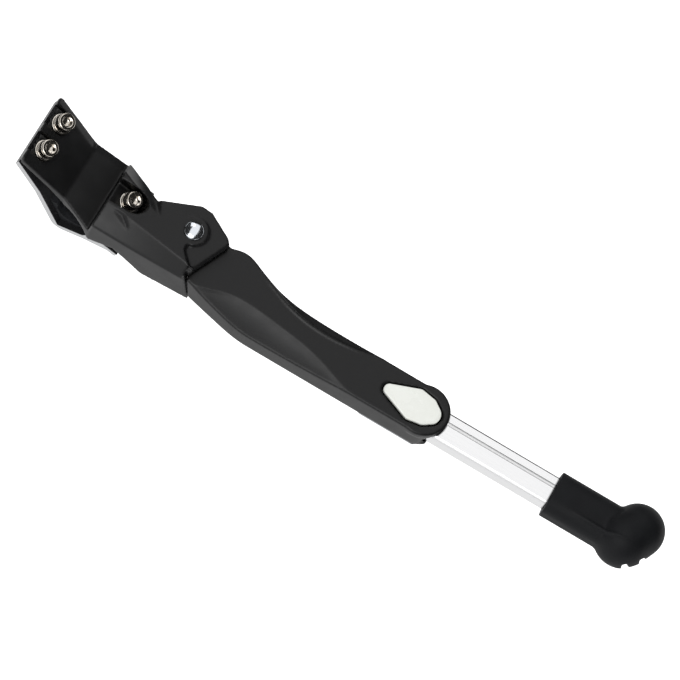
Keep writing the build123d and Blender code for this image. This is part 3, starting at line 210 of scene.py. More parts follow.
class Nodes:
    """Small helper that lays out one material's shader nodes."""

    def __init__(self, name: str) -> None:
        """Makes a material with a principled shader.

        Args:
            name: The material's name.
        """
        self.material = bpy.data.materials.new(name)
        self.material.use_nodes = True
        self.tree = self.material.node_tree
        self.shader = self.tree.nodes["Principled BSDF"]
        self.coordinates = self.add("ShaderNodeTexCoord")

    def add(self, kind: str, **settings: object) -> bpy.types.ShaderNode:
        """Adds a node.

        Args:
            kind: The node's type name.
            **settings: Properties set on it.

        Returns:
            The new node.
        """
        node = self.tree.nodes.new(kind)
        for name, value in settings.items():
            setattr(node, name, value)
        return node

    def link(self, source: Socket, target: Socket) -> None:
        """Joins two sockets."""
        self.tree.links.new(source, target)

    def noise(self, grain_mm: float, detail: float = 3.0, stretch: Triple = (1.0, 1.0, 1.0)) -> Socket:
        """Noise of a given grain.

        Args:
            grain_mm: Size of its spots in millimetres.
            detail: Number of finer layers.
            stretch: Factors on the three axes before the noise is read.

        Returns:
            The socket with its strength, 0 to 1.
        """
        mapping = self.add("ShaderNodeMapping")
        mapping.inputs["Scale"].default_value = stretch
        self.link(self.coordinates.outputs["Object"], mapping.inputs["Vector"])
        texture = self.add("ShaderNodeTexNoise")
        texture.inputs["Scale"].default_value = 1.0 / (grain_mm * MM)
        texture.inputs["Detail"].default_value = detail
        self.link(mapping.outputs["Vector"], texture.inputs["Vector"])
        return texture.outputs["Fac"]

    def spread(
        self, source: Socket, low: float, high: float, start: float = NOISE_LOW, end: float = NOISE_HIGH
    ) -> Socket:
        """Maps a part of a strength's range to given limits.

        Args:
            source: Socket with a strength.
            low: Result at the start.
            high: Result at the end.
            start: Strength at which the range starts.
            end: Strength at which it ends.

        Returns:
            The socket with the result.
        """
        spread = self.add("ShaderNodeMapRange")
        spread.inputs["From Min"].default_value = start
        spread.inputs["From Max"].default_value = end
        spread.inputs["To Min"].default_value = low
        spread.inputs["To Max"].default_value = high
        self.link(source, spread.inputs["Value"])
        return spread.outputs["Result"]

    def tint(self, source: Socket, low: Colour, high: Colour) -> Socket:
        """Maps the middle of a strength's range to a colour between two.

        Args:
            source: Socket with a strength.
            low: Colour at the range's start.
            high: Colour at its end.

        Returns:
            The socket with the colour.
        """
        ramp = self.add("ShaderNodeValToRGB")
        first, last = ramp.color_ramp.elements
        first.position = NOISE_LOW
        first.color = (*low, 1.0)
        last.position = NOISE_HIGH
        last.color = (*high, 1.0)
        self.link(source, ramp.inputs["Fac"])
        return ramp.outputs["Color"]

    def math(self, operation: str, first: Socket, second: Socket) -> Socket:
        """Joins two numbers by an operation.

        Args:
            operation: The operation's name.
            first: Socket with the first number.
            second: Socket with the second.

        Returns:
            The socket with the result.
        """
        node = self.add("ShaderNodeMath", operation=operation)
        self.link(first, node.inputs[0])
        self.link(second, node.inputs[1])
        return node.outputs["Value"]

    def mix(self, factor: Socket, first: Socket, second: Socket | Colour) -> Socket:
        """Mixes two colours.

        Args:
            factor: Socket with the second colour's share.
            first: Socket with the first colour.
            second: Socket with the second colour, or the colour.

        Returns:
            The socket with the result.
        """
        mix = self.add("ShaderNodeMix", data_type="RGBA")
        self.link(factor, mix.inputs["Factor"])
        self.link(first, mix.inputs["A"])
        if isinstance(second, tuple):
            mix.inputs["B"].default_value = (*second, 1.0)
        else:
            self.link(second, mix.inputs["B"])
        return mix.outputs["Result"]

    def edges(self, width_mm: float) -> Socket:
        """Strength that is 1 along the surface's edges and 0 on its faces.

        Args:
            width_mm: Reach of an edge to its sides.

        Returns:
            The socket with the strength.
        """
        turned, straight = 0.88, 0.985
        rounded = self.add("ShaderNodeBevel", samples=4)
        rounded.inputs["Radius"].default_value = width_mm * MM
        facing = self.add("ShaderNodeNewGeometry")
        turn = self.add("ShaderNodeVectorMath", operation="DOT_PRODUCT")
        self.link(rounded.outputs["Normal"], turn.inputs[0])
        self.link(facing.outputs["Normal"], turn.inputs[1])
        return self.spread(turn.outputs["Value"], 1.0, 0.0, turned, straight)

    def crevices(self, reach_mm: float, full: float, none: float) -> Socket:
        """Strength that is 1 in narrow gaps and inner corners and 0 on open faces.

        Args:
            reach_mm: Distance at which a facing surface counts.
            full: Share of open sky at which the strength is 1.
            none: Share of open sky at which it is 0.

        Returns:
            The socket with the strength.
        """
        sky = self.add("ShaderNodeAmbientOcclusion", samples=8)
        sky.inputs["Distance"].default_value = reach_mm * MM
        return self.spread(sky.outputs["AO"], 1.0, 0.0, full, none)

    def bump(self, source: Socket, height_mm: float, strength: float) -> None:
        """Gives the surface a fine relief.

        Args:
            source: Socket with the relief's height, 0 to 1.
            height_mm: Height of the relief.
            strength: Share of it that is used.
        """
        bump = self.add("ShaderNodeBump")
        bump.inputs["Distance"].default_value = height_mm * MM
        bump.inputs["Strength"].default_value = strength
        self.link(source, bump.inputs["Height"])
        self.link(bump.outputs["Normal"], self.shader.inputs["Normal"])


@dataclass(frozen=True)
class Finish:
    """A surface finish.

    Attributes:
        name: Its name.
        dark: Colour in its darker spots.
        light: Colour in its lighter spots.
        metallic: 1 for bare metal, 0 for paint, rubber and plastic.
        rough: Lowest and highest roughness.
        grain_mm: Size of its relief's spots.
        relief_mm: Height of the relief.
        stretch: Factors on the axes of its grain, for a drawn or brushed surface.
        specular: Level of its gloss where it isn't metal.
        coat: Weight of a clear coat.
        wear_and_sheen: Colour of its edges, or None: rubbed wear where it shows in patches, and a painted
            highlight where it covers nearly every edge.
        edge_band: Width of the band of edge colour in millimetres, and the strengths of a noise between
            which the colour sets in.
        crevice_shade: Colour of the painted shade in its gaps and inner corners, or None.
        gaps: Reach of a gap in millimetres, and the shares of open sky at which the painted shade is full
            and at which it ends.
        cloud_mm: Size of its uneven spots of colour.
        patch_mm: Size of the patches of edge colour.
        mottle: Lowest and highest share of the grain in the colour's strength.
        coat_rough: Roughness of the clear coat.
    """

    name: str
    dark: Colour
    light: Colour
    metallic: float = 0.0
    rough: Pair = (0.4, 0.5)
    grain_mm: float = 0.5
    relief_mm: float = 0.02
    stretch: Triple = (1.0, 1.0, 1.0)
    specular: float = 0.5
    coat: float = 0.0
    wear_and_sheen: Colour | None = None
    edge_band: Triple = (0.6, 0.4, 0.7)
    crevice_shade: Colour | None = None
    gaps: Triple = (2.0, 0.3, 0.85)
    cloud_mm: float = 9.0
    patch_mm: float = 2.5
    mottle: Pair = (0.8, 1.2)
    coat_rough: float = 0.12

    def material(self) -> bpy.types.Material:
        """Makes the material on first use.

        Returns:
            The material.
        """
        found = bpy.data.materials.get(self.name)
        if found is not None:
            return found
        nodes = Nodes(self.name)
        shader = nodes.shader
        shader.inputs["Metallic"].default_value = self.metallic
        shader.inputs["Specular IOR Level"].default_value = self.specular
        shader.inputs["Coat Weight"].default_value = self.coat
        shader.inputs["Coat Roughness"].default_value = self.coat_rough
        cloud = nodes.noise(self.cloud_mm, CLOUD_DETAIL, self.stretch)
        grain = nodes.noise(self.grain_mm, GRAIN_DETAIL, self.stretch)
        spots = nodes.math("MULTIPLY", cloud, nodes.spread(grain, *self.mottle))
        colour = nodes.tint(spots, self.dark, self.light)
        # Edge colour: patchy wear, or a painted highlight along the rims where the band covers every edge.
        if self.wear_and_sheen is not None:
            width_mm, start, end = self.edge_band
            patches = nodes.spread(nodes.noise(self.patch_mm, PATCH_DETAIL), 0.0, 1.0, start, end)
            wear_and_sheen_mask = nodes.math("MULTIPLY", nodes.edges(width_mm), patches)
            colour = nodes.mix(wear_and_sheen_mask, colour, self.wear_and_sheen)
        # Painted shade: gaps and inner corners darken towards the crevice colour, the less open sky they
        # see.
        if self.crevice_shade is not None:
            colour = nodes.mix(nodes.crevices(*self.gaps), colour, self.crevice_shade)
        nodes.link(colour, shader.inputs["Base Color"])
        nodes.link(nodes.spread(cloud, *self.rough), shader.inputs["Roughness"])
        nodes.bump(grain, self.relief_mm, RELIEF_SHARE)
        return nodes.material


@dataclass(frozen=True)
class PlateFinish:
    """Painted faces and bare sheared edges of a plate.

    Attributes:
        name: The finish's name.
        paint: Colour of the painted faces.
        metal: Colour of the bare edges.
        paint_light: Strength of the paint's lighter spots.
        metal_dark: Strength of the metal's darker lines.
        bare_from: How squarely a face lies across the plate where bare metal starts and where it is full.
        paint_rough: Lowest and highest roughness of the paint.
        polish: How much smoother the bare metal is.
        cloud_mm: Size of the paint's uneven spots.
        grain_mm: Width of the metal's drawn lines.
        stretch: Factors on the axes of the drawn lines.
        relief_mm: Height of the relief.
    """

    name: str
    paint: Colour
    metal: Colour
    paint_light: float = 1.5
    metal_dark: float = 0.85
    bare_from: Pair = (0.35, 0.6)
    paint_rough: Pair = (0.40, 0.48)
    polish: float = 0.14
    cloud_mm: float = 6.0
    grain_mm: float = 0.25
    stretch: Triple = (1.0, 0.15, 1.0)
    relief_mm: float = 0.008

    def material(self) -> bpy.types.Material:
        """Makes the material.

        Returns:
            The material.
        """
        nodes = Nodes(self.name)
        shader = nodes.shader
        across = nodes.add("ShaderNodeSeparateXYZ")
        nodes.link(nodes.coordinates.outputs["Normal"], across.inputs["Vector"])
        facing = nodes.math("MULTIPLY", across.outputs["X"], across.outputs["X"])
        bare = nodes.spread(facing, 0.0, 1.0, *self.bare_from)
        cloud = nodes.noise(self.cloud_mm, CLOUD_DETAIL)
        drawn = nodes.noise(self.grain_mm, GRAIN_DETAIL, self.stretch)
        paint = nodes.tint(cloud, self.paint, tuple(self.paint_light * part for part in self.paint))
        metal = nodes.tint(drawn, tuple(self.metal_dark * part for part in self.metal), self.metal)
        nodes.link(nodes.mix(bare, paint, metal), shader.inputs["Base Color"])
        nodes.link(bare, shader.inputs["Metallic"])
        painted = nodes.spread(cloud, *self.paint_rough)
        smoother = nodes.spread(bare, 0.0, self.polish, 0.0, 1.0)
        nodes.link(nodes.math("SUBTRACT", painted, smoother), shader.inputs["Roughness"])
        nodes.bump(drawn, self.relief_mm, RELIEF_SHARE)
        return nodes.material


# Painted shade in the jaw and the gaps between parts; the lighter edge colour is patchy wear.
BLACK_COAT = Finish(
    name="black_coat",
    dark=(0.0065, 0.0065, 0.0070),
    light=(0.0095, 0.0095, 0.0100),
    rough=(0.34, 0.42),
    grain_mm=0.35,
    relief_mm=0.010,
    specular=0.34,
    wear_and_sheen=(0.055, 0.055, 0.056),
    crevice_shade=(0.0012, 0.0012, 0.0013),
    gaps=(30.0, 0.5, 0.92),
)
PLATE_METAL = PlateFinish(name="plate_metal", paint=(0.010, 0.010, 0.011), metal=(0.80, 0.81, 0.82))
PAD_RUBBER = Finish(
    name="pad_rubber",
    dark=(0.010, 0.011, 0.013),
    light=(0.022, 0.023, 0.026),
    rough=(0.6, 0.75),
    grain_mm=0.7,
    relief_mm=0.09,
    specular=0.3,
    cloud_mm=1.6,
)
# Painted shade in the sockets and under the heads, and a painted highlight of light edge colour along the
# rims.
NICKEL = Finish(
    name="bright_nickel",
    dark=(0.60, 0.55, 0.48),
    light=(0.74, 0.69, 0.62),
    metallic=1.0,
    rough=(0.10, 0.20),
    grain_mm=0.4,
    relief_mm=0.003,
    wear_and_sheen=(0.90, 0.87, 0.81),
    edge_band=(0.8, 0.1, 0.35),
    crevice_shade=(0.05, 0.036, 0.03),
    gaps=(2.0, 0.22, 0.62),
)
CHROME = Finish(
    name="polished_chrome",
    dark=(0.76, 0.79, 0.84),
    light=(0.83, 0.86, 0.90),
    metallic=1.0,
    rough=(0.10, 0.16),
    grain_mm=2.0,
    relief_mm=0.003,
)
BUSH_BRASS = Finish(
    name="bush_brass",
    dark=(0.58, 0.42, 0.18),
    light=(0.68, 0.52, 0.26),
    metallic=1.0,
    rough=(0.25, 0.35),
    grain_mm=0.4,
    relief_mm=0.005,
)
SPRING_ZINC = Finish(
    name="spring_zinc",
    dark=(0.44, 0.45, 0.47),
    light=(0.56, 0.57, 0.59),
    metallic=1.0,
    rough=(0.22, 0.34),
    grain_mm=0.3,
    relief_mm=0.006,
)
# Painted shade in the groove, which draws its dark lines.
TUBE_METAL = Finish(
    name="tube_metal",
    dark=(0.90, 0.90, 0.91),
    light=(0.95, 0.95, 0.955),
    metallic=1.0,
    rough=(0.10, 0.17),
    grain_mm=0.25,
    relief_mm=0.002,
    stretch=(6.0, 0.8, 0.04),
    crevice_shade=(0.03, 0.03, 0.033),
    gaps=(1.2, 0.66, 0.97),
)
BUTTON_GLOSS = Finish(
    name="button_gloss",
    dark=(0.80, 0.815, 0.765),
    light=(0.84, 0.855, 0.81),
    rough=(0.22, 0.3),
    grain_mm=0.8,
    relief_mm=0.004,
    coat=0.25,
)
PLUG_PLASTIC = Finish(
    name="plug_plastic",
    dark=(0.02, 0.02, 0.02),
    light=(0.03, 0.03, 0.03),
    rough=(0.45, 0.55),
    grain_mm=0.5,
    relief_mm=0.02,
)
FOOT_RUBBER = Finish(
    name="foot_rubber",
    dark=(0.0055, 0.0060, 0.0072),
    light=(0.0085, 0.0092, 0.0108),
    rough=(0.52, 0.64),
    grain_mm=0.3,
    relief_mm=0.016,
    specular=0.2,
    wear_and_sheen=(0.050, 0.053, 0.060),
)


def polar(radius: float, angle: float, height: float) -> Vector:
    """Point at a radius and an angle about the z axis, at a height."""
    return Vector((radius * math.cos(angle), radius * math.sin(angle), height))


class Shape:
    """A mesh under construction, in millimetres."""

    def __init__(self) -> None:
        """Starts with nothing."""
        self.mesh = bmesh.new()
        self.fused = False

    def skin(self, rings: Sequence[Sequence[Vector]], loop: bool = False) -> None:
        """Covers a row of rings with faces.

        Args:
            rings: Closed rings with the same number of points; a ring of one point is a tip.
            loop: Whether the last ring joins the first. Otherwise both ends are closed.
        """
        rows = [[self.mesh.verts.new(point) for point in ring] for ring in rings]
        pairs = list(zip(rows, rows[1:]))
        if loop:
            pairs.append((rows[-1], rows[0]))
        for low, high in pairs:
            count = max(len(low), len(high))
            for index in range(count):
                after = (index + 1) % count
                if len(low) == 1:
                    self.mesh.faces.new((low[0], high[index], high[after]))
                elif len(high) == 1:
                    self.mesh.faces.new((low[index], low[after], high[0]))
                else:
                    self.mesh.faces.new((low[index], low[after], high[after], high[index]))
        if not loop:
            for ring in (rows[0], rows[-1]):
                if len(ring) > 2:
                    self.mesh.faces.new(ring)

    def turn(self, rows: Sequence[Row], count: int = 60, place: Matrix = Matrix()) -> None:
        """Turns a row of outlines about the local z axis.

        Args:
            rows: The outlines, from one end to the other.
            count: Points round the axis, a multiple of 6.
            place: Transform of the turned form.
        """
        rings: list[list[Vector]] = []
        for row in rows:
            if row.radius == 0.0:
                rings.append([place @ Vector((0.0, 0.0, row.height))])
                continue
            ring = []
            for step in range(count):
                angle = FULL_TURN * step / count
                ring.append(place @ polar(self.radius(row, step, angle), angle, row.height))
            rings.append(ring)
        self.skin(rings)

    @staticmethod
    def radius(row: Row, step: int, angle: float) -> float:
        """Radius of a turned row at one of its points.

        Args:
            row: The row.
            step: Number of the point round the axis.
            angle: Its angle.

        Returns:
            The radius in millimetres.
        """
        if row.section is Section.KNURL:
            return row.radius - KNURL_DEPTH * (step % 2)
        if row.section is Section.HEX:
            sixth = math.pi / 3
            return row.radius / math.cos((angle + sixth / 2) % sixth - sixth / 2)
        if row.section is Section.THREAD:
            turn = row.height / THREAD_PITCH - angle / FULL_TURN
            return row.radius - THREAD_DEPTH * abs(2 * (turn - math.floor(turn)) - 1)
        return row.radius

    def sweep(self, path: Sequence[Vector], radius: float, count: int = 10) -> None:
        """Sweeps a round section along a path.

        Args:
            path: Points of the path.
            radius: Radius of the section.
            count: Points round the section.
        """
        spans = [after - before for before, after in zip(path, path[1:])]
        runs = [spans[0], *[(before + after) for before, after in zip(spans, spans[1:])], spans[-1]]
        turns = [FULL_TURN * step / count for step in range(count)]
        normal = runs[0].orthogonal()
        rings = []
        for place, run in zip(path, runs):
            along = run.normalized()
            normal = (normal - along * normal.dot(along)).normalized()
            side = along.cross(normal)
            spokes = [normal * math.cos(turn) + side * math.sin(turn) for turn in turns]
            rings.append([place + spoke * radius for spoke in spokes])
        self.skin(rings)

    @classmethod
    def of_node(cls, node: bpy.types.Object, frame: Matrix) -> Shape:
        """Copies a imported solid.

        Args:
            node: The solid.
            frame: Transform from the copy's millimetres into the shared frame.

        Returns:
            The copy.
        """
        shape = cls()
        shape.mesh.from_mesh(node.data)
        shape.mesh.transform(frame.inverted())
        bmesh.ops.remove_doubles(shape.mesh, verts=shape.mesh.verts[:], dist=WELD_MM)
        return shape

    def fuse(self, voxel: float) -> None:
        """Joins everything into one even skin on a grid that lies askew to its edges.

        Args:
            voxel: Size of the grid's cells.
        """
        askew_turn = 0.7
        askew = Matrix.Rotation(askew_turn, 4, Vector((1.0, 2.0, 3.0)))
        self.mesh.transform(askew)
        data = bpy.data.meshes.new("rough")
        self.mesh.to_mesh(data)
        holder = bpy.data.objects.new("rough", data)
        bpy.context.collection.objects.link(holder)
        remesh = holder.modifiers.new("skin", "REMESH")
        remesh.mode = "VOXEL"
        remesh.voxel_size = voxel
        bpy.context.view_layer.update()
        self.mesh.clear()
        self.mesh.from_mesh(holder.evaluated_get(bpy.context.evaluated_depsgraph_get()).to_mesh())
        self.mesh.transform(askew.inverted())
        self.fused = True
        bpy.data.objects.remove(holder)
        bpy.data.meshes.remove(data)

    def ridge(self, stations: Sequence[Triple], radius: float) -> list[Vector]:
        """Adds a bead along the outward face.

        Args:
            stations: Places down the leg and rearward, and how far the bead stands out there.
            radius: Radius of the bead.

        Returns:
            Points of the bead's middle.
        """
        face = BVHTree.FromBMesh(self.mesh)
        clear_level = 20.0
        inward = Vector((0.0, 0.0, -1.0))
        path = []
        for place in smooth_path([Vector(station) for station in stations], steps=8):
            level = face.ray_cast(Vector((place.x, place.y, clear_level)), inward)[0].z
            path.append(Vector((place.x, place.y, level + place.z - radius)))
        self.sweep(path, radius, count=12)
        return path

    def clear_of(self, path: Sequence[Vector], reach: float) -> list[bmesh.types.BMVert]:
        """Finds the points that lie away from a path.

        Args:
            path: Points of the path.
            reach: Least distance from it.

        Returns:
            The points.
        """
        tree = KDTree(len(path))
        for index, place in enumerate(path):
            tree.insert(place, index)
        tree.balance()
        return [vert for vert in self.mesh.verts if tree.find(vert.co)[2] > reach]

    def soften(self, verts: Sequence[bmesh.types.BMVert], times: int) -> None:
        """Evens out points towards their neighbours.

        Args:
            verts: The points.
            times: Number of passes.
        """
        axes = {"use_axis_x": True, "use_axis_y": True, "use_axis_z": True}
        half_way = 0.5
        for _ in range(times):
            bmesh.ops.smooth_vert(self.mesh, verts=list(verts), factor=half_way, **axes)

    def piece(
        self,
        name: str,
        finish: Finish,
        slot: Slot,
        nodes: Sequence[str],
        place: Matrix,
        crease: Crease = Crease.TURNED,
    ) -> bpy.types.Object:
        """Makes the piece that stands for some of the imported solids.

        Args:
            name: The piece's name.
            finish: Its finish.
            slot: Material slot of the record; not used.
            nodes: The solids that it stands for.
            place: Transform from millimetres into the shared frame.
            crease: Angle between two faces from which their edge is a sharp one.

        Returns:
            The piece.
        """
        self.mesh.transform(place)
        if not self.fused:
            bmesh.ops.recalc_face_normals(self.mesh, faces=self.mesh.faces[:])
        if self.mesh.calc_volume(signed=True) < 0.0:
            bmesh.ops.reverse_faces(self.mesh, faces=self.mesh.faces[:])
        for face in self.mesh.faces:
            face.smooth = True
        for edge in self.mesh.edges:
            edge.smooth = edge.calc_face_angle(0.0) < math.radians(crease.value)
        data = bpy.data.meshes.new(name)
        self.mesh.to_mesh(data)
        self.mesh.free()
        data.materials.append(finish.material())
        piece = bpy.data.objects.new(name, data)
        bpy.context.collection.objects.link(piece)
        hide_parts(*nodes)
        return piece


def smooth_path(points: Sequence[Vector], steps: int) -> list[Vector]:
    """Draws a smooth curve through points.

    Args:
        points: The points.
        steps: Steps from each point to the next.

    Returns:
        Points of the curve.
    """
    ends = [points[0], *points, points[-1]]
    path = []
    for before, start, end, after in zip(ends, ends[1:], ends[2:], ends[3:]):
        for step in range(steps):
            share = step / steps
            bend = 2 * before - 5 * start + 4 * end - after
            twist = 3 * start - before - 3 * end + after
            path.append(start + ((end - before) * share + bend * share**2 + twist * share**3) / 2)
    return [*path, points[-1]]


def arc(centre: Vector, radius: float, start: float, end: float, steps: int) -> list[Vector]:
    """Points of an arc in a local x-y plane, ends included, between two angles in degrees."""
    angles = [math.radians(start + (end - start) * step / steps) for step in range(steps + 1)]
    return [centre + Vector((math.cos(angle), math.sin(angle), 0.0)) * radius for angle in angles]


def rounded_outline(corners: Sequence[Pair], radii: Sequence[float], steps: int) -> list[Vector]:
    """Closed outline with rounded corners.

    Args:
        corners: The corners in order round the outline.
        radii: Radius of each corner.
        steps: Number of parts of each corner.

    Returns:
        Points of the outline.
    """
    points: list[Vector] = []
    places = [Vector(corner) for corner in corners]
    bends = zip(places[-1:] + places, places, places[1:] + places[:1], radii)
    for previous, corner, following, radius in bends:
        before = (previous - corner).normalized()
        after = (following - corner).normalized()
        half = before.angle(after) / 2
        reach = radius / math.tan(half)
        centre = corner + (before + after).normalized() * (radius / math.sin(half))
        first = corner + before * reach - centre
        last = corner + after * reach - centre
        spokes = [first.slerp(last, step / steps).normalized() for step in range(steps + 1)]
        points += [(centre + spoke * radius).to_3d() for spoke in spokes]
    return points


def even_outline(outline: Sequence[Vector], count: int) -> list[Vector]:
    """Points at even distances round a closed outline.

    Args:
        outline: Its points.
        count: Number of points wanted.

    Returns:
        The points.
    """
    shortest = 1e-9
    closed = [*outline, outline[0]]
    lengths = [0.0]
    for before, after in zip(closed, closed[1:]):
        lengths.append(lengths[-1] + (after - before).length)
    points = []
    index = 0
    for step in range(count):
        goal = lengths[-1] * step / count
        while lengths[index + 1] < goal:
            index += 1
        share = (goal - lengths[index]) / max(lengths[index + 1] - lengths[index], shortest)
        points.append(closed[index].lerp(closed[index + 1], share))
    return points


class BoltSeat(NamedTuple):
    """Seat of a clamp bolt.

    Attributes:
        side: Millimetres rearward of the clamped tube's middle.
        out: Millimetres outward from the tube's centre.
        rise: Millimetres above the tube's centre.
        length: Length of the bolt below its head.
        turn: Angle of its socket in degrees.
    """

    side: float
    out: float
    rise: float
    length: float
    turn: float

    def place(self, height: float = 0.0) -> Matrix:
        """Transform from the bolt's own axes, z outward, into shared millimetres.

        Args:
            height: Distance out from the seat to the local origin.

        Returns:
            The transform.
        """
        axes = Matrix(((1, 0, 0), (0, 0, 1), (0, -1, 0))).transposed().to_4x4()
        origin = Matrix.Translation((self.side, -self.out - height, self.rise))
        return origin @ axes @ Matrix.Rotation(math.radians(self.turn), 4, "Z")


@dataclass
class ClampBolts:
    """Socket head bolts of the clamp with their split and flat washers.

    Attributes:
        upper: Seats of the two bolts in the flange.
        lower: Seat of the bolt below the jaw.
        head_radius: Radius of a bolt's head.
        head_height: Height of the head.
        shank_radius: Radius over the thread.
        socket: Half the socket's width across flats.
        flat_radius: Outer radius of a flat washer.
        flat_height: Thickness of a flat washer.
        lock_radius: Outer radius of a split washer.
        lock_height: Height of a split washer.
        hole: Radius of the washers' holes.
        gap: Width of the split.
        spring: Rise of a split washer from one of its ends to the other.
        lock_corner: Radius of a split washer's corners.
        washer_edges: Cut of a flat washer's lower edges, reach and bend of its rolled edge, and cut at its
            hole.
        tip: Insets from the thread and heights of a bolt's chamfered tip.
        tip_length: Length of a bolt's tip ahead of its thread.
        plain_length: Length of a bolt's tip and neck, which have no thread.
        thread_step: Height between two rows of the thread.
        neck: Insets from the thread and heights of the neck under the head.
        head_foot: Insets from the head's side and heights of its lower edge.
        knurl_ends: Distances of the knurl from the head's seat and from its top.
        head_edge: Insets from the head's side and depths of its upper edge.
        socket_rim: Distances outside of the socket and depths of its chamfer.
        socket_start: Depth at which the socket's flats start.
        socket_depth: Depth at which they end.
        socket_floor: Shares of the socket's width and further depths of its drilled floor.
        count: Points round a bolt or a flat washer.
    """

    upper: tuple[BoltSeat, ...] = (
        BoltSeat(side=-6.1, out=19.966, rise=33.1, length=15.63, turn=8.0),
        BoltSeat(side=9.5, out=19.966, rise=33.1, length=15.63, turn=38.0),
    )
    lower: tuple[BoltSeat, ...] = (BoltSeat(side=-2.8, out=24.4, rise=-13.2, length=36.29, turn=20.0),)
    head_radius: float = 4.25
    head_height: float = 5.0
    shank_radius: float = 2.5
    socket: float = 2.0
    flat_radius: float = 5.0
    flat_height: float = 1.0
    lock_radius: float = 4.6
    lock_height: float = 1.3
    hole: float = 2.65
    gap: float = 1.0
    spring: float = 0.24
    lock_corner: float = 0.18
    washer_edges: tuple[float, float, float, float] = (0.05, 0.3, 0.09, 0.1)
    tip: tuple[Pair, ...] = ((0.9, 0.0), (0.5, 0.3))
    tip_length: float = 0.4
    plain_length: float = 1.2
    thread_step: float = 0.16
    neck: tuple[Pair, ...] = ((0.1, -0.35), (-0.1, 0.0))
    head_foot: tuple[Pair, ...] = ((0.35, 0.0), (0.08, 0.12), (0.0, 0.4))
    knurl_ends: Pair = (0.55, 0.95)
    head_edge: tuple[Pair, ...] = ((0.0, 0.8), (0.06, 0.42), (0.24, 0.14), (0.5, 0.0))
    socket_rim: tuple[Pair, ...] = ((0.85, 0.0), (0.55, 0.12))
    socket_start: float = 0.45
    socket_depth: float = 2.6
    socket_floor: tuple[Pair, ...] = ((0.8, 0.2), (0.0, 0.6))
    count: int = 60

    def bolt_rows(self, length: float) -> list[Row]:
        """Rows of a bolt from its tip to the bottom of its socket.

        Args:
            length: Length below the head.

        Returns:
            The rows.
        """
        radius, head, top, socket = self.shank_radius, self.head_radius, self.head_height, self.socket
        rows = [Row(0.0, -length)]
        rows += [Row(radius - inset, height - length) for inset, height in self.tip]
        start = -length + self.tip_length
        runs = int((length - self.plain_length) / self.thread_step)
        rows += [Row(radius, start + self.thread_step * run, Section.THREAD) for run in range(runs)]
        rows += [Row(radius - inset, height) for inset, height in self.neck]
        rows += [Row(head - inset, height) for inset, height in self.head_foot]
        knurl_start, knurl_end = self.knurl_ends
        rows += [Row(head, height, Section.KNURL) for height in (knurl_start, top - knurl_end)]
        rows += [Row(head - inset, top - depth) for inset, depth in self.head_edge]
        rows += [Row(socket + reach, top - depth) for reach, depth in self.socket_rim]
        rows += [Row(socket, top - depth, Section.HEX) for depth in (self.socket_start, self.socket_depth)]
        rows += [Row(socket * share, top - self.socket_depth - depth) for share, depth in self.socket_floor]
        return rows

    def lock_washer(self, shape: Shape, seat: BoltSeat) -> None:
        """Adds a split washer with slightly sprung ends.

        Args:
            shape: Mesh that takes it.
            seat: Seat of its bolt.
        """
        place = seat.place(self.flat_height)
        middle = (self.hole + self.lock_radius) / 2
        half = (self.lock_radius - self.hole) / 2
        thick = self.lock_height - self.spring
        opening = math.degrees(math.asin(self.gap / 2 / middle))
        corners = [(-half, 0.0), (half, 0.0), (half, thick), (-half, thick)]
        outline = rounded_outline(corners, [self.lock_corner] * len(corners), steps=3)
        steps = 72
        rings = []
        for step in range(steps + 1):
            angle = math.radians(opening + (360 - 2 * opening) * step / steps)
            lift = self.spring * step / steps
            rings.append([place @ polar(middle + point.x, angle, point.y + lift) for point in outline])
        shape.skin(rings)

    def flat_washer(self, shape: Shape, seat: BoltSeat) -> None:
        """Adds a flat washer with a rolled upper edge.

        Args:
            shape: Mesh that takes it.
            seat: Seat of its bolt.
        """
        place = seat.place()
        hole, rim, thick = self.hole, self.flat_radius, self.flat_height
        low, rolled, bend, cut = self.washer_edges
        section = [
            (hole, low), (hole + low, 0.0), (rim - low, 0.0), (rim, low), (rim, thick - rolled),
            (rim - bend, thick - bend), (rim - rolled, thick), (hole + cut, thick), (hole, thick - cut),
        ]
        angles = [FULL_TURN * step / self.count for step in range(self.count)]
        rings = [[place @ polar(radius, angle, height) for angle in angles] for radius, height in section]
        shape.skin(rings, loop=True)

    def build(self) -> Iterable[str]:
        """Makes the bolts and washers.

        Returns:
            Names of the pieces.
        """
        scale = Matrix.Scale(MM, 4)
        names = []
        for seats, name, bolt, lock, flat in (
            (self.upper, "upper", "upper_clamp_bolts", "upper_lock_washers", "upper_flat_washers"),
            (self.lower, "lower", "lower_clamp_bolt", "lower_lock_washer", "lower_flat_washer"),
        ):
            bolts, locks, flats = Shape(), Shape(), Shape()
            for seat in seats:
                head = seat.place(self.flat_height + self.lock_height)
                bolts.turn(self.bolt_rows(seat.length), self.count, head)
                self.lock_washer(locks, seat)
                self.flat_washer(flats, seat)
            pieces = (
                bolts.piece(f"socket_bolts_{name}", NICKEL, Slot.NICKEL, [bolt], scale),
                locks.piece(f"split_washers_{name}", NICKEL, Slot.NICKEL, [lock], scale),
                flats.piece(f"plain_washers_{name}", NICKEL, Slot.NICKEL, [flat], scale),
            )
            for piece in pieces:
                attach(piece, Body.BRACKET.value)
                names.append(piece.name)
        return names


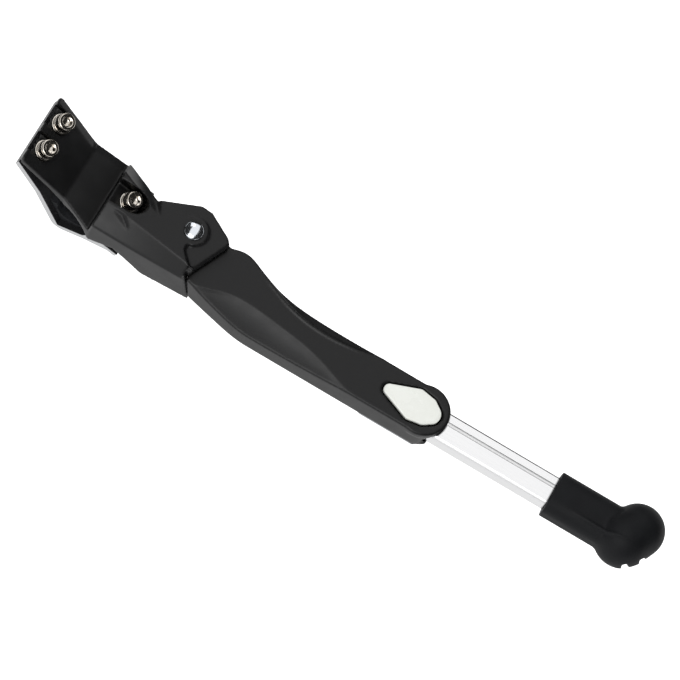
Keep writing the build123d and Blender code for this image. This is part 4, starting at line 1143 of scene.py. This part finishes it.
@dataclass
class PivotRivet:
    """Domed rivet that carries the leg.

    Attributes:
        head_radius: Radius of its head.
        head_height: Height of its head.
        shank_radius: Radius of its shank.
        tail_level: Level of the tail's seat, outward from the bracket's front face.
        tail_radius: Radius of the tail.
        tail_height: Height of the tail.
        tail_edge: Height of the tail's upright edge.
        tail_flat: Radius at which the tail's rounding ends.
        dimple: Radii and depths of the dimple in the tail.
        head_cut: Cut of the head's lower edge.
        tail_cut: Inset of the tail's seat.
        rim: Height of the head's upright rim.
        fullness: Power of the head's curve, which is fuller below 1.
    """

    head_radius: float = 4.7
    head_height: float = 2.2
    shank_radius: float = 3.0
    tail_level: float = -15.3
    tail_radius: float = 4.3
    tail_height: float = 1.5
    tail_edge: float = 0.2
    tail_flat: float = 1.5
    dimple: tuple[Pair, ...] = ((1.2, 0.12), (0.6, 0.42), (0.0, 0.5))
    head_cut: float = 0.12
    tail_cut: float = 0.1
    rim: float = 0.45
    fullness: float = 0.85

    def build(self) -> Iterable[str]:
        """Makes the rivet.

        Returns:
            Names of the pieces.
        """
        rows = [Row(0.0, self.head_height)]
        rise = self.head_height - self.rim
        head_steps = 14
        for step in range(1, head_steps + 1):
            swing = math.pi / 2 * step / head_steps
            share = math.cos(swing) ** self.fullness if step < head_steps else 0.0
            rows.append(Row(self.head_radius * math.sin(swing), self.rim + rise * share))
        rows += [
            Row(self.head_radius, self.head_cut),
            Row(self.head_radius - self.head_cut, 0.0),
            Row(self.shank_radius, 0.0),
            Row(self.shank_radius, self.tail_level),
            Row(self.tail_radius - self.tail_cut, self.tail_level),
        ]
        tail_steps = 8
        edge = self.tail_level - self.tail_edge
        for step in range(tail_steps + 1):
            swing = math.pi / 2 * step / tail_steps
            radius = self.tail_flat + (self.tail_radius - self.tail_flat) * math.cos(swing)
            rows.append(Row(radius, edge - (self.tail_height - self.tail_edge) * math.sin(swing)))
        floor = self.tail_level - self.tail_height
        rows += [Row(radius, floor + depth) for radius, depth in self.dimple]
        shape = Shape()
        shape.turn(rows)
        piece = shape.piece("domed_rivet", CHROME, Slot.CHROME, ["pivot_rivet"], LEG.matrix())
        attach(piece, Body.BRACKET.value)
        return [piece.name]


@dataclass
class ToggleSpring:
    """Close wound over-centre spring with a hook round each of its pins.

    Attributes:
        anchor: Place of the bracket's pin down the leg and rearward.
        post: Place of the leg's pin.
        level: Level of the spring's axis.
        coil_radius: Radius to the middle of the wire.
        wire_radius: Radius of the wire.
        hook_radius: Radius of a hook to the middle of the wire.
        hook_length: Length from a pin to the coils.
        hook_swing: Angles of a hook's open end and of its other end, in degrees.
        bend: Distance from a pin to the bend behind its hook, in hook radii.
        lead: Length of the wire between the end of the bend and the coils.
        ease: Share of a turn in which a coil grows to its full radius.
        coils: Number of turns.
        per_turn: Points in a turn.
    """

    anchor: Pair = (-11.680, -7.719)
    post: Pair = (56.0, -14.0)
    level: float = -20.6
    coil_radius: float = 2.6
    wire_radius: float = 0.6
    hook_radius: float = 2.9
    hook_length: float = 8.0
    hook_swing: Pair = (20.0, 312.0)
    bend: float = 1.49
    lead: float = 1.6
    ease: float = 0.6
    coils: int = 40
    per_turn: int = 22

    def hook(self) -> list[Vector]:
        """Path of a hook from its open end to the spring's axis, about a pin at the origin.

        Returns:
            Points on the path.
        """
        path = arc(Vector((0.0, 0.0, 0.0)), self.hook_radius, *self.hook_swing, steps=36)
        start = path[-1]
        corner = Vector((self.hook_radius * self.bend, 0.0, 0.0))
        end = Vector((self.hook_length - self.lead, 0.0, 0.0))
        steps = 8
        for step in range(1, steps + 1):
            share = step / steps
            path.append(start.lerp(corner, share).lerp(corner.lerp(end, share), share))
        return path

    def build(self) -> Iterable[str]:
        """Makes the spring.

        Returns:
            Names of the pieces.
        """
        start = Vector((*self.anchor, self.level))
        span = Vector((*self.post, self.level)) - start
        length = span.length
        first = self.hook()
        last = [Vector((length - point.x, point.y, 0.0)) for point in reversed(first)]
        turns = []
        total = self.coils * self.per_turn
        growth = self.ease * self.per_turn
        for step in range(total + 1):
            angle = FULL_TURN * step / self.per_turn
            grown = min(1.0, step / growth, (total - step) / growth)
            radius = self.coil_radius * math.sin(grown * math.pi / 2)
            along = self.hook_length + (length - 2 * self.hook_length) * step / total
            turns.append(Vector((along, radius * math.sin(angle), radius * math.cos(angle))))
        shape = Shape()
        shape.sweep([*first, *turns, *last], self.wire_radius)
        run = span.normalized()
        up = Vector((0.0, 0.0, 1.0))
        axes = Matrix((run, up.cross(run), up)).transposed()
        place = LEG.matrix() @ Matrix.Translation(start) @ axes.to_4x4()
        nodes = ["toggle_spring"]
        piece = shape.piece("coil_spring", SPRING_ZINC, Slot.SPRING_STEEL, nodes, place, Crease.WIRE)
        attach(piece, Body.SPRING.value)
        return [piece.name]


@dataclass
class LatchSpring:
    """Leaf spring on the sleeve's back and the two screws that hold it.

    Attributes:
        start: Where the leaf starts down the leg.
        length: Its length.
        middle: Its middle, rearward.
        width: Its width.
        corner: Radius of its corners.
        level: Level of the sleeve's back.
        thickness: Thickness of the leaf.
        screw_inset: Distance of the screws from the leaf's start.
        screw_spacing: Distance between the screws.
        latch: Where the latch pin meets the leaf, down the leg.
        edge: Width of the chamfers along the leaf's edges.
        stiff: Reach of the parts round the screws and round the latch pin that don't bend; not used.
        dome: Rows of the rivet over the latch pin's end.
        screw: Rows of a screw from its tip to the bottom of its socket.
    """

    start: float = 107.0
    length: float = 33.0
    middle: float = -16.2
    width: float = 21.6
    corner: float = 3.0
    level: float = -24.6
    thickness: float = 1.0
    screw_inset: float = 5.5
    screw_spacing: float = 10.0
    latch: float = 129.0
    edge: float = 0.12
    stiff: float = 2.6
    dome: tuple[Row, ...] = (
        Row(2.6, 0.05), Row(2.6, -0.1), Row(2.35, -0.4), Row(1.7, -0.65), Row(0.8, -0.78), Row(0.0, -0.8),
    )
    screw: tuple[Row, ...] = (
        Row(0.0, -4.0), Row(1.1, -4.0), Row(1.5, -3.6), Row(1.5, 0.0), Row(2.45, 0.0), Row(2.6, 0.15),
        Row(2.52, 0.7), Row(2.2, 1.2), Row(1.75, 1.5), Row(1.45, 1.6), Row(1.3, 1.55),
        Row(1.0, 1.42, Section.HEX), Row(1.0, 0.5, Section.HEX), Row(0.0, 0.3),
    )

    def leaf(self) -> bpy.types.Object:
        """Makes the leaf, with a domed rivet over the latch pin's end.

        Returns:
            Its piece.
        """
        shape = Shape()
        edge, thick = self.edge, self.thickness
        steps = 44
        rings = []
        for step in range(steps + 1):
            along = self.length * (1 - math.cos(math.pi * step / steps)) / 2
            inset = max(0.0, self.corner - min(along, self.length - along))
            half = self.width / 2 - self.corner + math.sqrt(max(self.corner**2 - inset**2, 0.0))
            outline = [
                (-half, -edge), (-half + edge, 0.0), (0.0, 0.0), (half - edge, 0.0), (half, -edge),
                (half, -thick + edge), (half - edge, -thick), (0.0, -thick), (-half + edge, -thick),
                (-half, -thick + edge),
            ]
            places = [(self.start + along, self.middle + side, self.level + out) for side, out in outline]
            rings.append([Vector(place) for place in places])
        shape.skin(rings)
        seat = Matrix.Translation((self.latch, self.middle, self.level - thick))
        shape.turn(self.dome, count=36, place=seat)
        piece = shape.piece("leaf_spring", SPRING_ZINC, Slot.SPRING_STEEL, ["latch_spring"], LEG.matrix())
        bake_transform(piece)
        return piece

    def screws(self) -> bpy.types.Object:
        """Makes the screws.

        Returns:
            Their piece.
        """
        shape = Shape()
        flip = Matrix.Rotation(math.pi, 4, "X")
        for side in (-self.screw_spacing / 2, self.screw_spacing / 2):
            seat = Vector((self.start + self.screw_inset, self.middle + side, self.level - self.thickness))
            place = Matrix.Translation(seat) @ flip @ Matrix.Rotation(side, 4, "Z")
            shape.turn(self.screw, count=48, place=place)
        piece = shape.piece("leaf_screws", NICKEL, Slot.NICKEL, ["latch_screws"], LEG.matrix())
        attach(piece, Body.LEG.value)
        return piece

    def build(self) -> Iterable[str]:
        """Makes the leaf and its screws, and gives their names."""
        return [self.leaf().name, self.screws().name]


@dataclass
class ReleaseButton:
    """Crowned teardrop button in the sleeve's lower end.

    Attributes:
        tip: Where its narrow end starts down the leg.
        middle: Its middle, rearward.
        corners: Distance from the tip, half width and corner radius, from the tip to the end.
        back: Level of its back.
        rim: Level at which its rounded edge starts.
        front: Level of its crown.
        heart: Distance from the tip to the middle of its crown.
        foot: Share of its back's width, and height of the rounding along its back.
        crown: Shares of its width and of its crown's height, from its edge to its middle.
        count: Points round its edge.
    """

    tip: float = 113.0
    middle: float = -16.2
    corners: tuple[Triple, ...] = (
        (0.0, 2.0, 2.8), (16.0, 8.4, 3.0), (24.0, 7.0, 4.0), (30.0, 2.6, 5.0),
    )
    back: float = -8.0
    rim: float = -6.3
    front: float = -5.35
    heart: float = 17.0
    foot: Pair = (0.97, 0.25)
    crown: tuple[Pair, ...] = (
        (0.994, 0.30), (0.978, 0.52), (0.952, 0.66), (0.915, 0.745), (0.85, 0.82), (0.72, 0.90),
        (0.54, 0.96), (0.34, 0.985), (0.16, 1.0),
    )
    count: int = 180

    def edge(self, grow: float = 0.0) -> list[Vector]:
        """Points at even distances round the button.

        Args:
            grow: Distance outside of its edge.

        Returns:
            The points, down the leg and rearward.
        """
        half = [(along, side) for along, side, _ in self.corners]
        radii = [radius for _, _, radius in self.corners]
        other_half = [(along, -side) for along, side in reversed(half)]
        outline = rounded_outline([*half, *other_half], [*radii, *reversed(radii)], steps=8)
        points = even_outline(outline, self.count)
        after = points[1:] + points[:1]
        before = points[-1:] + points[:-1]
        grown = []
        for previous, point, following in zip(before, points, after):
            run = (following - previous).normalized()
            outward = Vector((-run.y, run.x, 0.0))
            if outward.dot(point - Vector((self.heart, 0.0, 0.0))) < 0.0:
                outward.negate()
            grown.append(Vector((self.tip, self.middle, 0.0)) + point + outward * grow)
        return grown

    def build(self) -> Iterable[str]:
        """Makes the button.

        Returns:
            Names of the pieces.
        """
        edge = self.edge()
        heart = Vector((self.tip + self.heart, self.middle, 0.0))
        rise = self.front - self.rim
        foot_share, foot_height = self.foot
        rows = [(foot_share, self.back), (1.0, self.back + foot_height), (1.0, self.rim)]
        rows += [(share, self.rim + part * rise) for share, part in self.crown]
        rings = []
        for share, level in rows:
            lift = Vector((0.0, 0.0, level))
            rings.append([heart.lerp(point, share) + lift for point in edge])
        rings.append([heart + Vector((0.0, 0.0, self.front))])
        shape = Shape()
        shape.skin(rings)
        piece = shape.piece(
            "teardrop_button", BUTTON_GLOSS, Slot.BUTTON, ["release_button"], LEG.matrix(), Crease.BUTTON
        )
        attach(piece, Body.BUTTON.value)
        return [piece.name]


@dataclass
class RubberFoot:
    """Moulded rubber boot with its bulb, rib and grooved sole.

    Attributes:
        voxel: Size of the grid on which the moulded form is blended, in millimetres.
        mouth: Where the boot starts down the leg.
        lip: Length of the boot's crisp lip.
        rib: Places on the rib, down the leg and rearward, and how far it stands out there.
        rib_radius: Radius of the rib.
        neck: Where the boot runs into the bulb, down the leg.
        neck_reach: Reach of the soft neck to both sides.
        passes: Number of times that the whole foot, its open face and its neck are evened out.
    """

    voxel: float = 0.5
    mouth: float = 205.7
    lip: float = 2.0
    rib: tuple[Triple, ...] = (
        (211.0, -20.8, -0.4), (219.0, -21.5, 0.2), (228.0, -22.1, 1.0), (238.0, -22.1, 1.2),
        (249.0, -21.0, -0.2),
    )
    rib_radius: float = 0.9
    neck: float = 238.0
    neck_reach: float = 9.0
    passes: tuple[int, int, int] = (2, 3, 24)

    def build(self, node: bpy.types.Object) -> Iterable[str]:
        """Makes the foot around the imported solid.

        Args:
            node: The solid.

        Returns:
            Names of the pieces.
        """
        whole_passes, face_passes, neck_passes = self.passes
        moulded = Shape.of_node(node, LEG.matrix())
        path = moulded.ridge(self.rib, self.rib_radius)
        moulded.fuse(self.voxel)
        moulded.soften(moulded.mesh.verts[:], whole_passes)
        open_face = moulded.clear_of(path, 2 * self.rib_radius)
        moulded.soften([vert for vert in open_face if vert.co.x > self.mouth + self.lip], face_passes)
        moulded.mesh.normal_update()
        neck = [
            vert
            for vert in open_face
            if abs(vert.co.x - self.neck) < self.neck_reach and self.hollow(vert) > 0.0
        ]
        moulded.soften(neck, neck_passes)
        piece = moulded.piece(
            "moulded_foot", FOOT_RUBBER, Slot.FOOT, ["rubber_foot"], LEG.matrix(), Crease.MOULDED
        )
        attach(piece, Body.INNER_LEG.value)
        return [piece.name]

    @staticmethod
    def hollow(vert: bmesh.types.BMVert) -> float:
        """How far a point lies below its neighbours, along its normal.

        Args:
            vert: The point.

        Returns:
            The distance, negative for a point that stands out.
        """
        around = [edge.other_vert(vert).co for edge in vert.link_edges]
        middle = sum(around, Vector()) / len(around)
        return (middle - vert.co).dot(vert.normal)


@dataclass
class Castings:
    """The black cast bracket and sleeve, with the soft edges of a die casting.

    Attributes:
        voxel: Size of the grid on which their edges are softened, in millimetres.
        passes: Number of times that the edges are evened out.
        seat: Distance outside of the button and level of each corner of its seat in the sleeve.
        ridge: Places on the ridge along the sleeve's rear bevel, down the leg and rearward, and how far it
            stands out there.
        ridge_radius: Radius of the ridge.
    """

    voxel: float = 0.54
    passes: int = 4
    seat: tuple[Pair, ...] = (
        (1.6, -6.35), (0.75, -6.35), (0.75, -9.6), (-2.2, -9.6), (-2.2, -10.6), (1.6, -10.6),
    )
    ridge: tuple[Triple, ...] = (
        (37.0, 1.5, 0.1), (41.0, -0.1, 0.4), (46.0, -2.1, 0.55), (55.0, -5.7, 0.6), (66.0, -8.2, 0.6),
        (78.0, -9.0, 0.6), (91.0, -8.0, 0.5), (107.0, -5.4, -0.1),
    )
    ridge_radius: float = 0.7

    def cast(self, shape: Shape, crisp: Sequence[Vector], name: str, node: str, body: Body) -> str:
        """Softens a casting and makes its piece.

        Args:
            shape: The casting's form.
            crisp: Points of a ridge that stays crisp.
            name: The piece's name.
            node: The solid that it stands for.
            body: The body that carries it.

        Returns:
            The piece's name.
        """
        shape.fuse(self.voxel)
        shape.soften(shape.mesh.verts[:], 1)
        shape.soften(shape.clear_of(crisp, 2 * self.ridge_radius), self.passes - 1)
        piece = shape.piece(name, BLACK_COAT, Slot.BLACK_CAST, [node], LEG.matrix(), Crease.MOULDED)
        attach(piece, body.value)
        return piece.name

    def build(self, nodes: dict[str, bpy.types.Object]) -> Iterable[str]:
        """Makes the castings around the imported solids.

        Args:
            nodes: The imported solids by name.

        Returns:
            Names of the pieces.
        """
        bracket = Shape.of_node(nodes["bracket_body"], LEG.matrix())
        sleeve = Shape.of_node(nodes["leg_sleeve"], LEG.matrix())
        button = ReleaseButton()
        rings = []
        for grow, level in self.seat:
            lift = Vector((0.0, 0.0, level))
            rings.append([point + lift for point in button.edge(grow)])
        sleeve.skin(rings, loop=True)
        crest = sleeve.ridge(self.ridge, self.ridge_radius)
        return [
            self.cast(bracket, crest, "cast_bracket", "bracket_body", Body.BRACKET),
            self.cast(sleeve, crest, "cast_sleeve", "leg_sleeve", Body.LEG),
        ]


@dataclass
class PlainSolids:
    """Solids that are shown as they are, with their finishes.

    Attributes:
        finishes: Finish and edge rounding in millimetres for each solid.
        flat_deg: Angle between two faces below which they become one, in degrees.
        edge_deg: Angle between two faces from which their edge is rounded, in degrees.
        segments: Number of parts of a rounding.
    """

    finishes: dict[str, tuple[Finish | PlateFinish, float]] = field(
        default_factory=lambda: {
            "bracket_pad": (PAD_RUBBER, 0.2),
            "clamp_plate": (PLATE_METAL, 0.35),
            "clamp_pad": (PAD_RUBBER, 0.2),
            "pivot_washer": (SPRING_ZINC, 0.1),
            "rivet_tail_washer": (SPRING_ZINC, 0.1),
            "spring_anchor_pin": (SPRING_ZINC, 0.1),
            "pivot_bush": (BUSH_BRASS, 0.1),
            "spring_post": (SPRING_ZINC, 0.1),
            "latch_pin": (SPRING_ZINC, 0.1),
            "leg_tube": (TUBE_METAL, 0.15),
            "tube_plug": (PLUG_PLASTIC, 0.2),
        }
    )
    flat_deg: float = 0.6
    edge_deg: float = 24.0
    segments: int = 3

    def dress(self, node: bpy.types.Object, finish: Finish | PlateFinish, edge_mm: float) -> None:
        """Gives a solid its finish, clean faces and rounded edges.

        Args:
            node: The solid's object.
            finish: Its finish.
            edge_mm: Width of the rounding along its sharp edges.
        """
        node.data.materials.clear()
        node.data.materials.append(finish.material())
        weld = node.modifiers.new("weld", "WELD")
        weld.merge_threshold = WELD_MM * MM
        clean = node.modifiers.new("clean", "DECIMATE")
        clean.decimate_type = "DISSOLVE"
        clean.angle_limit = math.radians(self.flat_deg)
        edge = node.modifiers.new("edge", "BEVEL")
        edge.width = edge_mm * MM
        edge.segments = self.segments
        edge.limit_method = "ANGLE"
        edge.angle_limit = math.radians(self.edge_deg)
        edge.use_clamp_overlap = False
        smooth = node.modifiers.new("normals", "WEIGHTED_NORMAL")
        smooth.keep_sharp = True

    def build(self, nodes: dict[str, bpy.types.Object]) -> Iterable[str]:
        """Dresses the solids.

        Args:
            nodes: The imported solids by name.

        Returns:
            Their names.
        """
        for name, (finish, edge_mm) in self.finishes.items():
            self.dress(nodes[name], finish, edge_mm)
        return list(self.finishes)


class Lamp(NamedTuple):
    """A soft square lamp.

    Attributes:
        name: Its name.
        place: Its place in metres.
        size: Its side in metres.
        power: Its power in watts.
    """

    name: str
    place: Triple
    size: float
    power: float


class Sheet(NamedTuple):
    """A flat rectangle that lies square to the axes.

    Attributes:
        name: Its name.
        low: Its lowest corner in metres.
        high: Its highest corner, which differs from the lowest along two of the axes.
    """

    name: str
    low: Triple
    high: Triple

    def corners(self) -> list[Triple]:
        """Its corners in order round the rectangle.

        Returns:
            The four corners.
        """
        ends = (self.low, self.high)
        first, second = [axis for axis in range(3) if self.low[axis] != self.high[axis]]
        corners = []
        for at_first, at_second in ((0, 0), (1, 0), (1, 1), (0, 1)):
            corner = list(self.low)
            corner[first] = ends[at_first][first]
            corner[second] = ends[at_second][second]
            corners.append(tuple(corner))
        return corners


@dataclass(frozen=True)
class Paper:
    """Dull grey paper of the stage.

    Attributes:
        dark: Its darkest tone.
        light: Its lightest tone.
        grain_mm: Size of its spots.
        rough: Its roughness.
    """

    dark: float
    light: float
    grain_mm: float
    rough: float = 0.9

    def lay(self, sheet: Sheet) -> tuple[bpy.types.Object, Nodes]:
        """Lays a sheet of the paper on the stage.

        Args:
            sheet: Name and corners of the sheet.

        Returns:
            Its object, and the nodes of its material.
        """
        nodes = Nodes(f"{sheet.name}_paper")
        nodes.shader.inputs["Roughness"].default_value = self.rough
        nodes.shader.inputs["Specular IOR Level"].default_value = 0.0
        tone = nodes.tint(nodes.noise(self.grain_mm), (self.dark,) * 3, (self.light,) * 3)
        nodes.link(tone, nodes.shader.inputs["Base Color"])
        mesh = bpy.data.meshes.new(sheet.name)
        mesh.from_pydata(sheet.corners(), [], [(0, 1, 2, 3)])
        mesh.materials.append(nodes.material)
        holder = bpy.data.objects.new(sheet.name, mesh)
        bpy.context.collection.objects.link(holder)
        holder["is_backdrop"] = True
        return holder, nodes


@dataclass
class Studio:
    """Pale floor, soft light and the camera.

    Attributes:
        pivot_px: Where the pivot lies in the frame, in pixels.
        frame_px: Side of the square frame in pixels.
        scale: Pixels a millimetre at the leg.
        leg_tilt: Angle of the leg below the frame's horizontal, in degrees.
        lens: Focal length in millimetres.
        sensor: Width of the sensor in millimetres.
        clip: Nearest and farthest distance that the camera sees, in metres.
        lean: Share of the view's direction that comes from the leg's fore side.
        floor_paper: Paper of the floor.
        floor_half: Half the floor's side in metres.
        floor_gap: Gap under the foot at rest, in metres.
        floor_drop: Further room under the foot for the leg's longest setting, in metres.
        floor_glow: Strength of the floor's own light for the eye.
        ambient: Strength of the surroundings' light on the object.
        card_paper: Paper of the dark cards.
        cards: The dark cards, which show only in reflections.
        aim: Where the lamps face, as a place in the leg's frame.
        lamps: The lamps.
    """

    pivot_px: Pair = (194.0, 231.0)
    frame_px: float = 680.0
    scale: float = 2.15
    leg_tilt: float = 30.5
    lens: float = 200.0
    sensor: float = 36.0
    clip: Pair = (0.01, 20.0)
    lean: float = 0.37
    floor_paper: Paper = Paper(dark=0.95, light=0.97, grain_mm=60.0)
    floor_half: float = 6.0
    floor_gap: float = 0.002
    floor_drop: float = 0.042
    floor_glow: float = 0.72
    ambient: float = 0.68
    card_paper: Paper = Paper(dark=0.02, light=0.03, grain_mm=80.0)
    cards: tuple[Sheet, ...] = (
        Sheet("low_card", low=(-1.5, -3.0, -0.297), high=(4.0, -0.12, -0.297)),
        Sheet("front_card", low=(-1.5, -3.0, -0.297), high=(4.0, -3.0, 0.15)),
        Sheet("rear_card", low=(1.2, -0.8, -0.297), high=(1.2, 0.6, 0.8)),
        Sheet("top_card", low=(-1.0, -1.4, 0.9), high=(1.5, 0.2, 0.9)),
    )
    aim: Triple = (110.0, -10.0, -10.0)
    lamps: tuple[Lamp, ...] = (
        Lamp("key", place=(-0.6, -1.1, 0.4), size=0.7, power=4.4),
        Lamp("fill", place=(0.9, -0.7, 0.9), size=0.9, power=3.0),
        Lamp("back", place=(0.2, 0.9, 0.6), size=0.8, power=1.5),
    )

    def camera(self) -> None:
        """Sets the camera at the photograph's viewing angle."""
        back = (LEG.out * math.sqrt(1 - self.lean**2) - LEG.rear * self.lean).normalized()
        across = back.cross(LEG.down)
        tilt = math.radians(self.leg_tilt)
        right = LEG.down * math.cos(tilt) + across * math.sin(tilt)
        up = across * math.cos(tilt) - LEG.down * math.sin(tilt)
        offset_right = (self.frame_px / 2 - self.pivot_px[0]) / self.scale
        offset_up = (self.pivot_px[1] - self.frame_px / 2) / self.scale
        distance = self.lens / self.sensor * self.frame_px / self.scale
        place = LEG.point(0, 0, 0) + (right * offset_right + up * offset_up + back * distance) * MM
        data = bpy.data.cameras.new("camera")
        data.lens = self.lens
        data.sensor_width = self.sensor
        data.clip_start, data.clip_end = self.clip
        camera = bpy.data.objects.new("camera", data)
        camera.matrix_world = Matrix.Translation(place) @ Matrix((right, up, back)).transposed().to_4x4()
        bpy.context.collection.objects.link(camera)
        bpy.context.scene.camera = camera

    def world(self) -> None:
        """Makes the surroundings white to the eye and in reflections, and softer as a light."""
        world = bpy.data.worlds.new("surroundings")
        world.use_nodes = True
        bpy.context.scene.world = world
        tree = world.node_tree
        background = tree.nodes["Background"]
        background.inputs["Color"].default_value = (1.0, 1.0, 1.0, 1.0)
        rays = tree.nodes.new("ShaderNodeLightPath")
        seen = rays.outputs["Is Camera Ray"]
        for kind in ("Is Glossy Ray", "Is Transmission Ray"):
            either = tree.nodes.new("ShaderNodeMath")
            either.operation = "MAXIMUM"
            tree.links.new(seen, either.inputs[0])
            tree.links.new(rays.outputs[kind], either.inputs[1])
            seen = either.outputs["Value"]
        level = tree.nodes.new("ShaderNodeMapRange")
        level.inputs["To Min"].default_value = self.ambient
        level.inputs["To Max"].default_value = 1.0
        tree.links.new(seen, level.inputs["Value"])
        tree.links.new(level.outputs["Result"], background.inputs["Strength"])

    def floor(self, height: float) -> None:
        """Lays a pale floor under the stand.

        Args:
            height: Its height in metres.
        """
        half = self.floor_half
        _, nodes = self.floor_paper.lay(Sheet("floor", (-half, -half, height), (half, half, height)))
        nodes.shader.inputs["Emission Color"].default_value = (1.0, 1.0, 1.0, 1.0)
        rays = nodes.add("ShaderNodeLightPath")
        glow = nodes.spread(rays.outputs["Is Camera Ray"], 0.0, self.floor_glow, 0.0, 1.0)
        nodes.link(glow, nodes.shader.inputs["Emission Strength"])

    def card(self, sheet: Sheet) -> None:
        """Hangs a dark card, which shows only in reflections.

        Args:
            sheet: Name and corners of the card.
        """
        holder, _ = self.card_paper.lay(sheet)
        holder.visible_camera = False
        holder.visible_diffuse = False
        holder.visible_shadow = False
        holder.visible_transmission = False

    def light(self, lamp: Lamp) -> None:
        """Sets a lamp that faces the aim.

        Args:
            lamp: The lamp.
        """
        data = bpy.data.lights.new(lamp.name, "AREA")
        data.energy = lamp.power
        data.size = lamp.size
        holder = bpy.data.objects.new(lamp.name, data)
        place = Vector(lamp.place)
        run = LEG.point(*self.aim) - place
        holder.matrix_world = Matrix.Translation(place) @ run.to_track_quat("-Z", "Y").to_matrix().to_4x4()
        bpy.context.collection.objects.link(holder)

    def build(self, lowest: float) -> None:
        """Sets up camera, surroundings, floor, cards and lamps.

        Args:
            lowest: Height of the foot's lowest point at rest, in metres.
        """
        bpy.context.scene.view_settings.view_transform = "Standard"
        self.camera()
        self.world()
        self.floor(lowest - self.floor_gap - self.floor_drop)
        for sheet in self.cards:
            self.card(sheet)
        for lamp in self.lamps:
            self.light(lamp)


def main() -> None:
    """Builds the stand's looks and the studio."""
    logging.basicConfig(level=logging.INFO, format="%(name)s: %(message)s")
    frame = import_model()
    cad_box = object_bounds()
    nodes = frame["nodes"]
    parts: tuple[Callable[[], Iterable[str]], ...] = (
        lambda: PlainSolids().build(nodes),
        lambda: Castings().build(nodes),
        ClampBolts().build,
        PivotRivet().build,
        ToggleSpring().build,
        LatchSpring().build,
        ReleaseButton().build,
        lambda: RubberFoot().build(nodes["rubber_foot"]),
    )
    for build in parts:
        for name in build():
            LOG.info("built %s", name)
    Studio().build(cad_box[0].z)


if __name__ == "__main__":
    main()
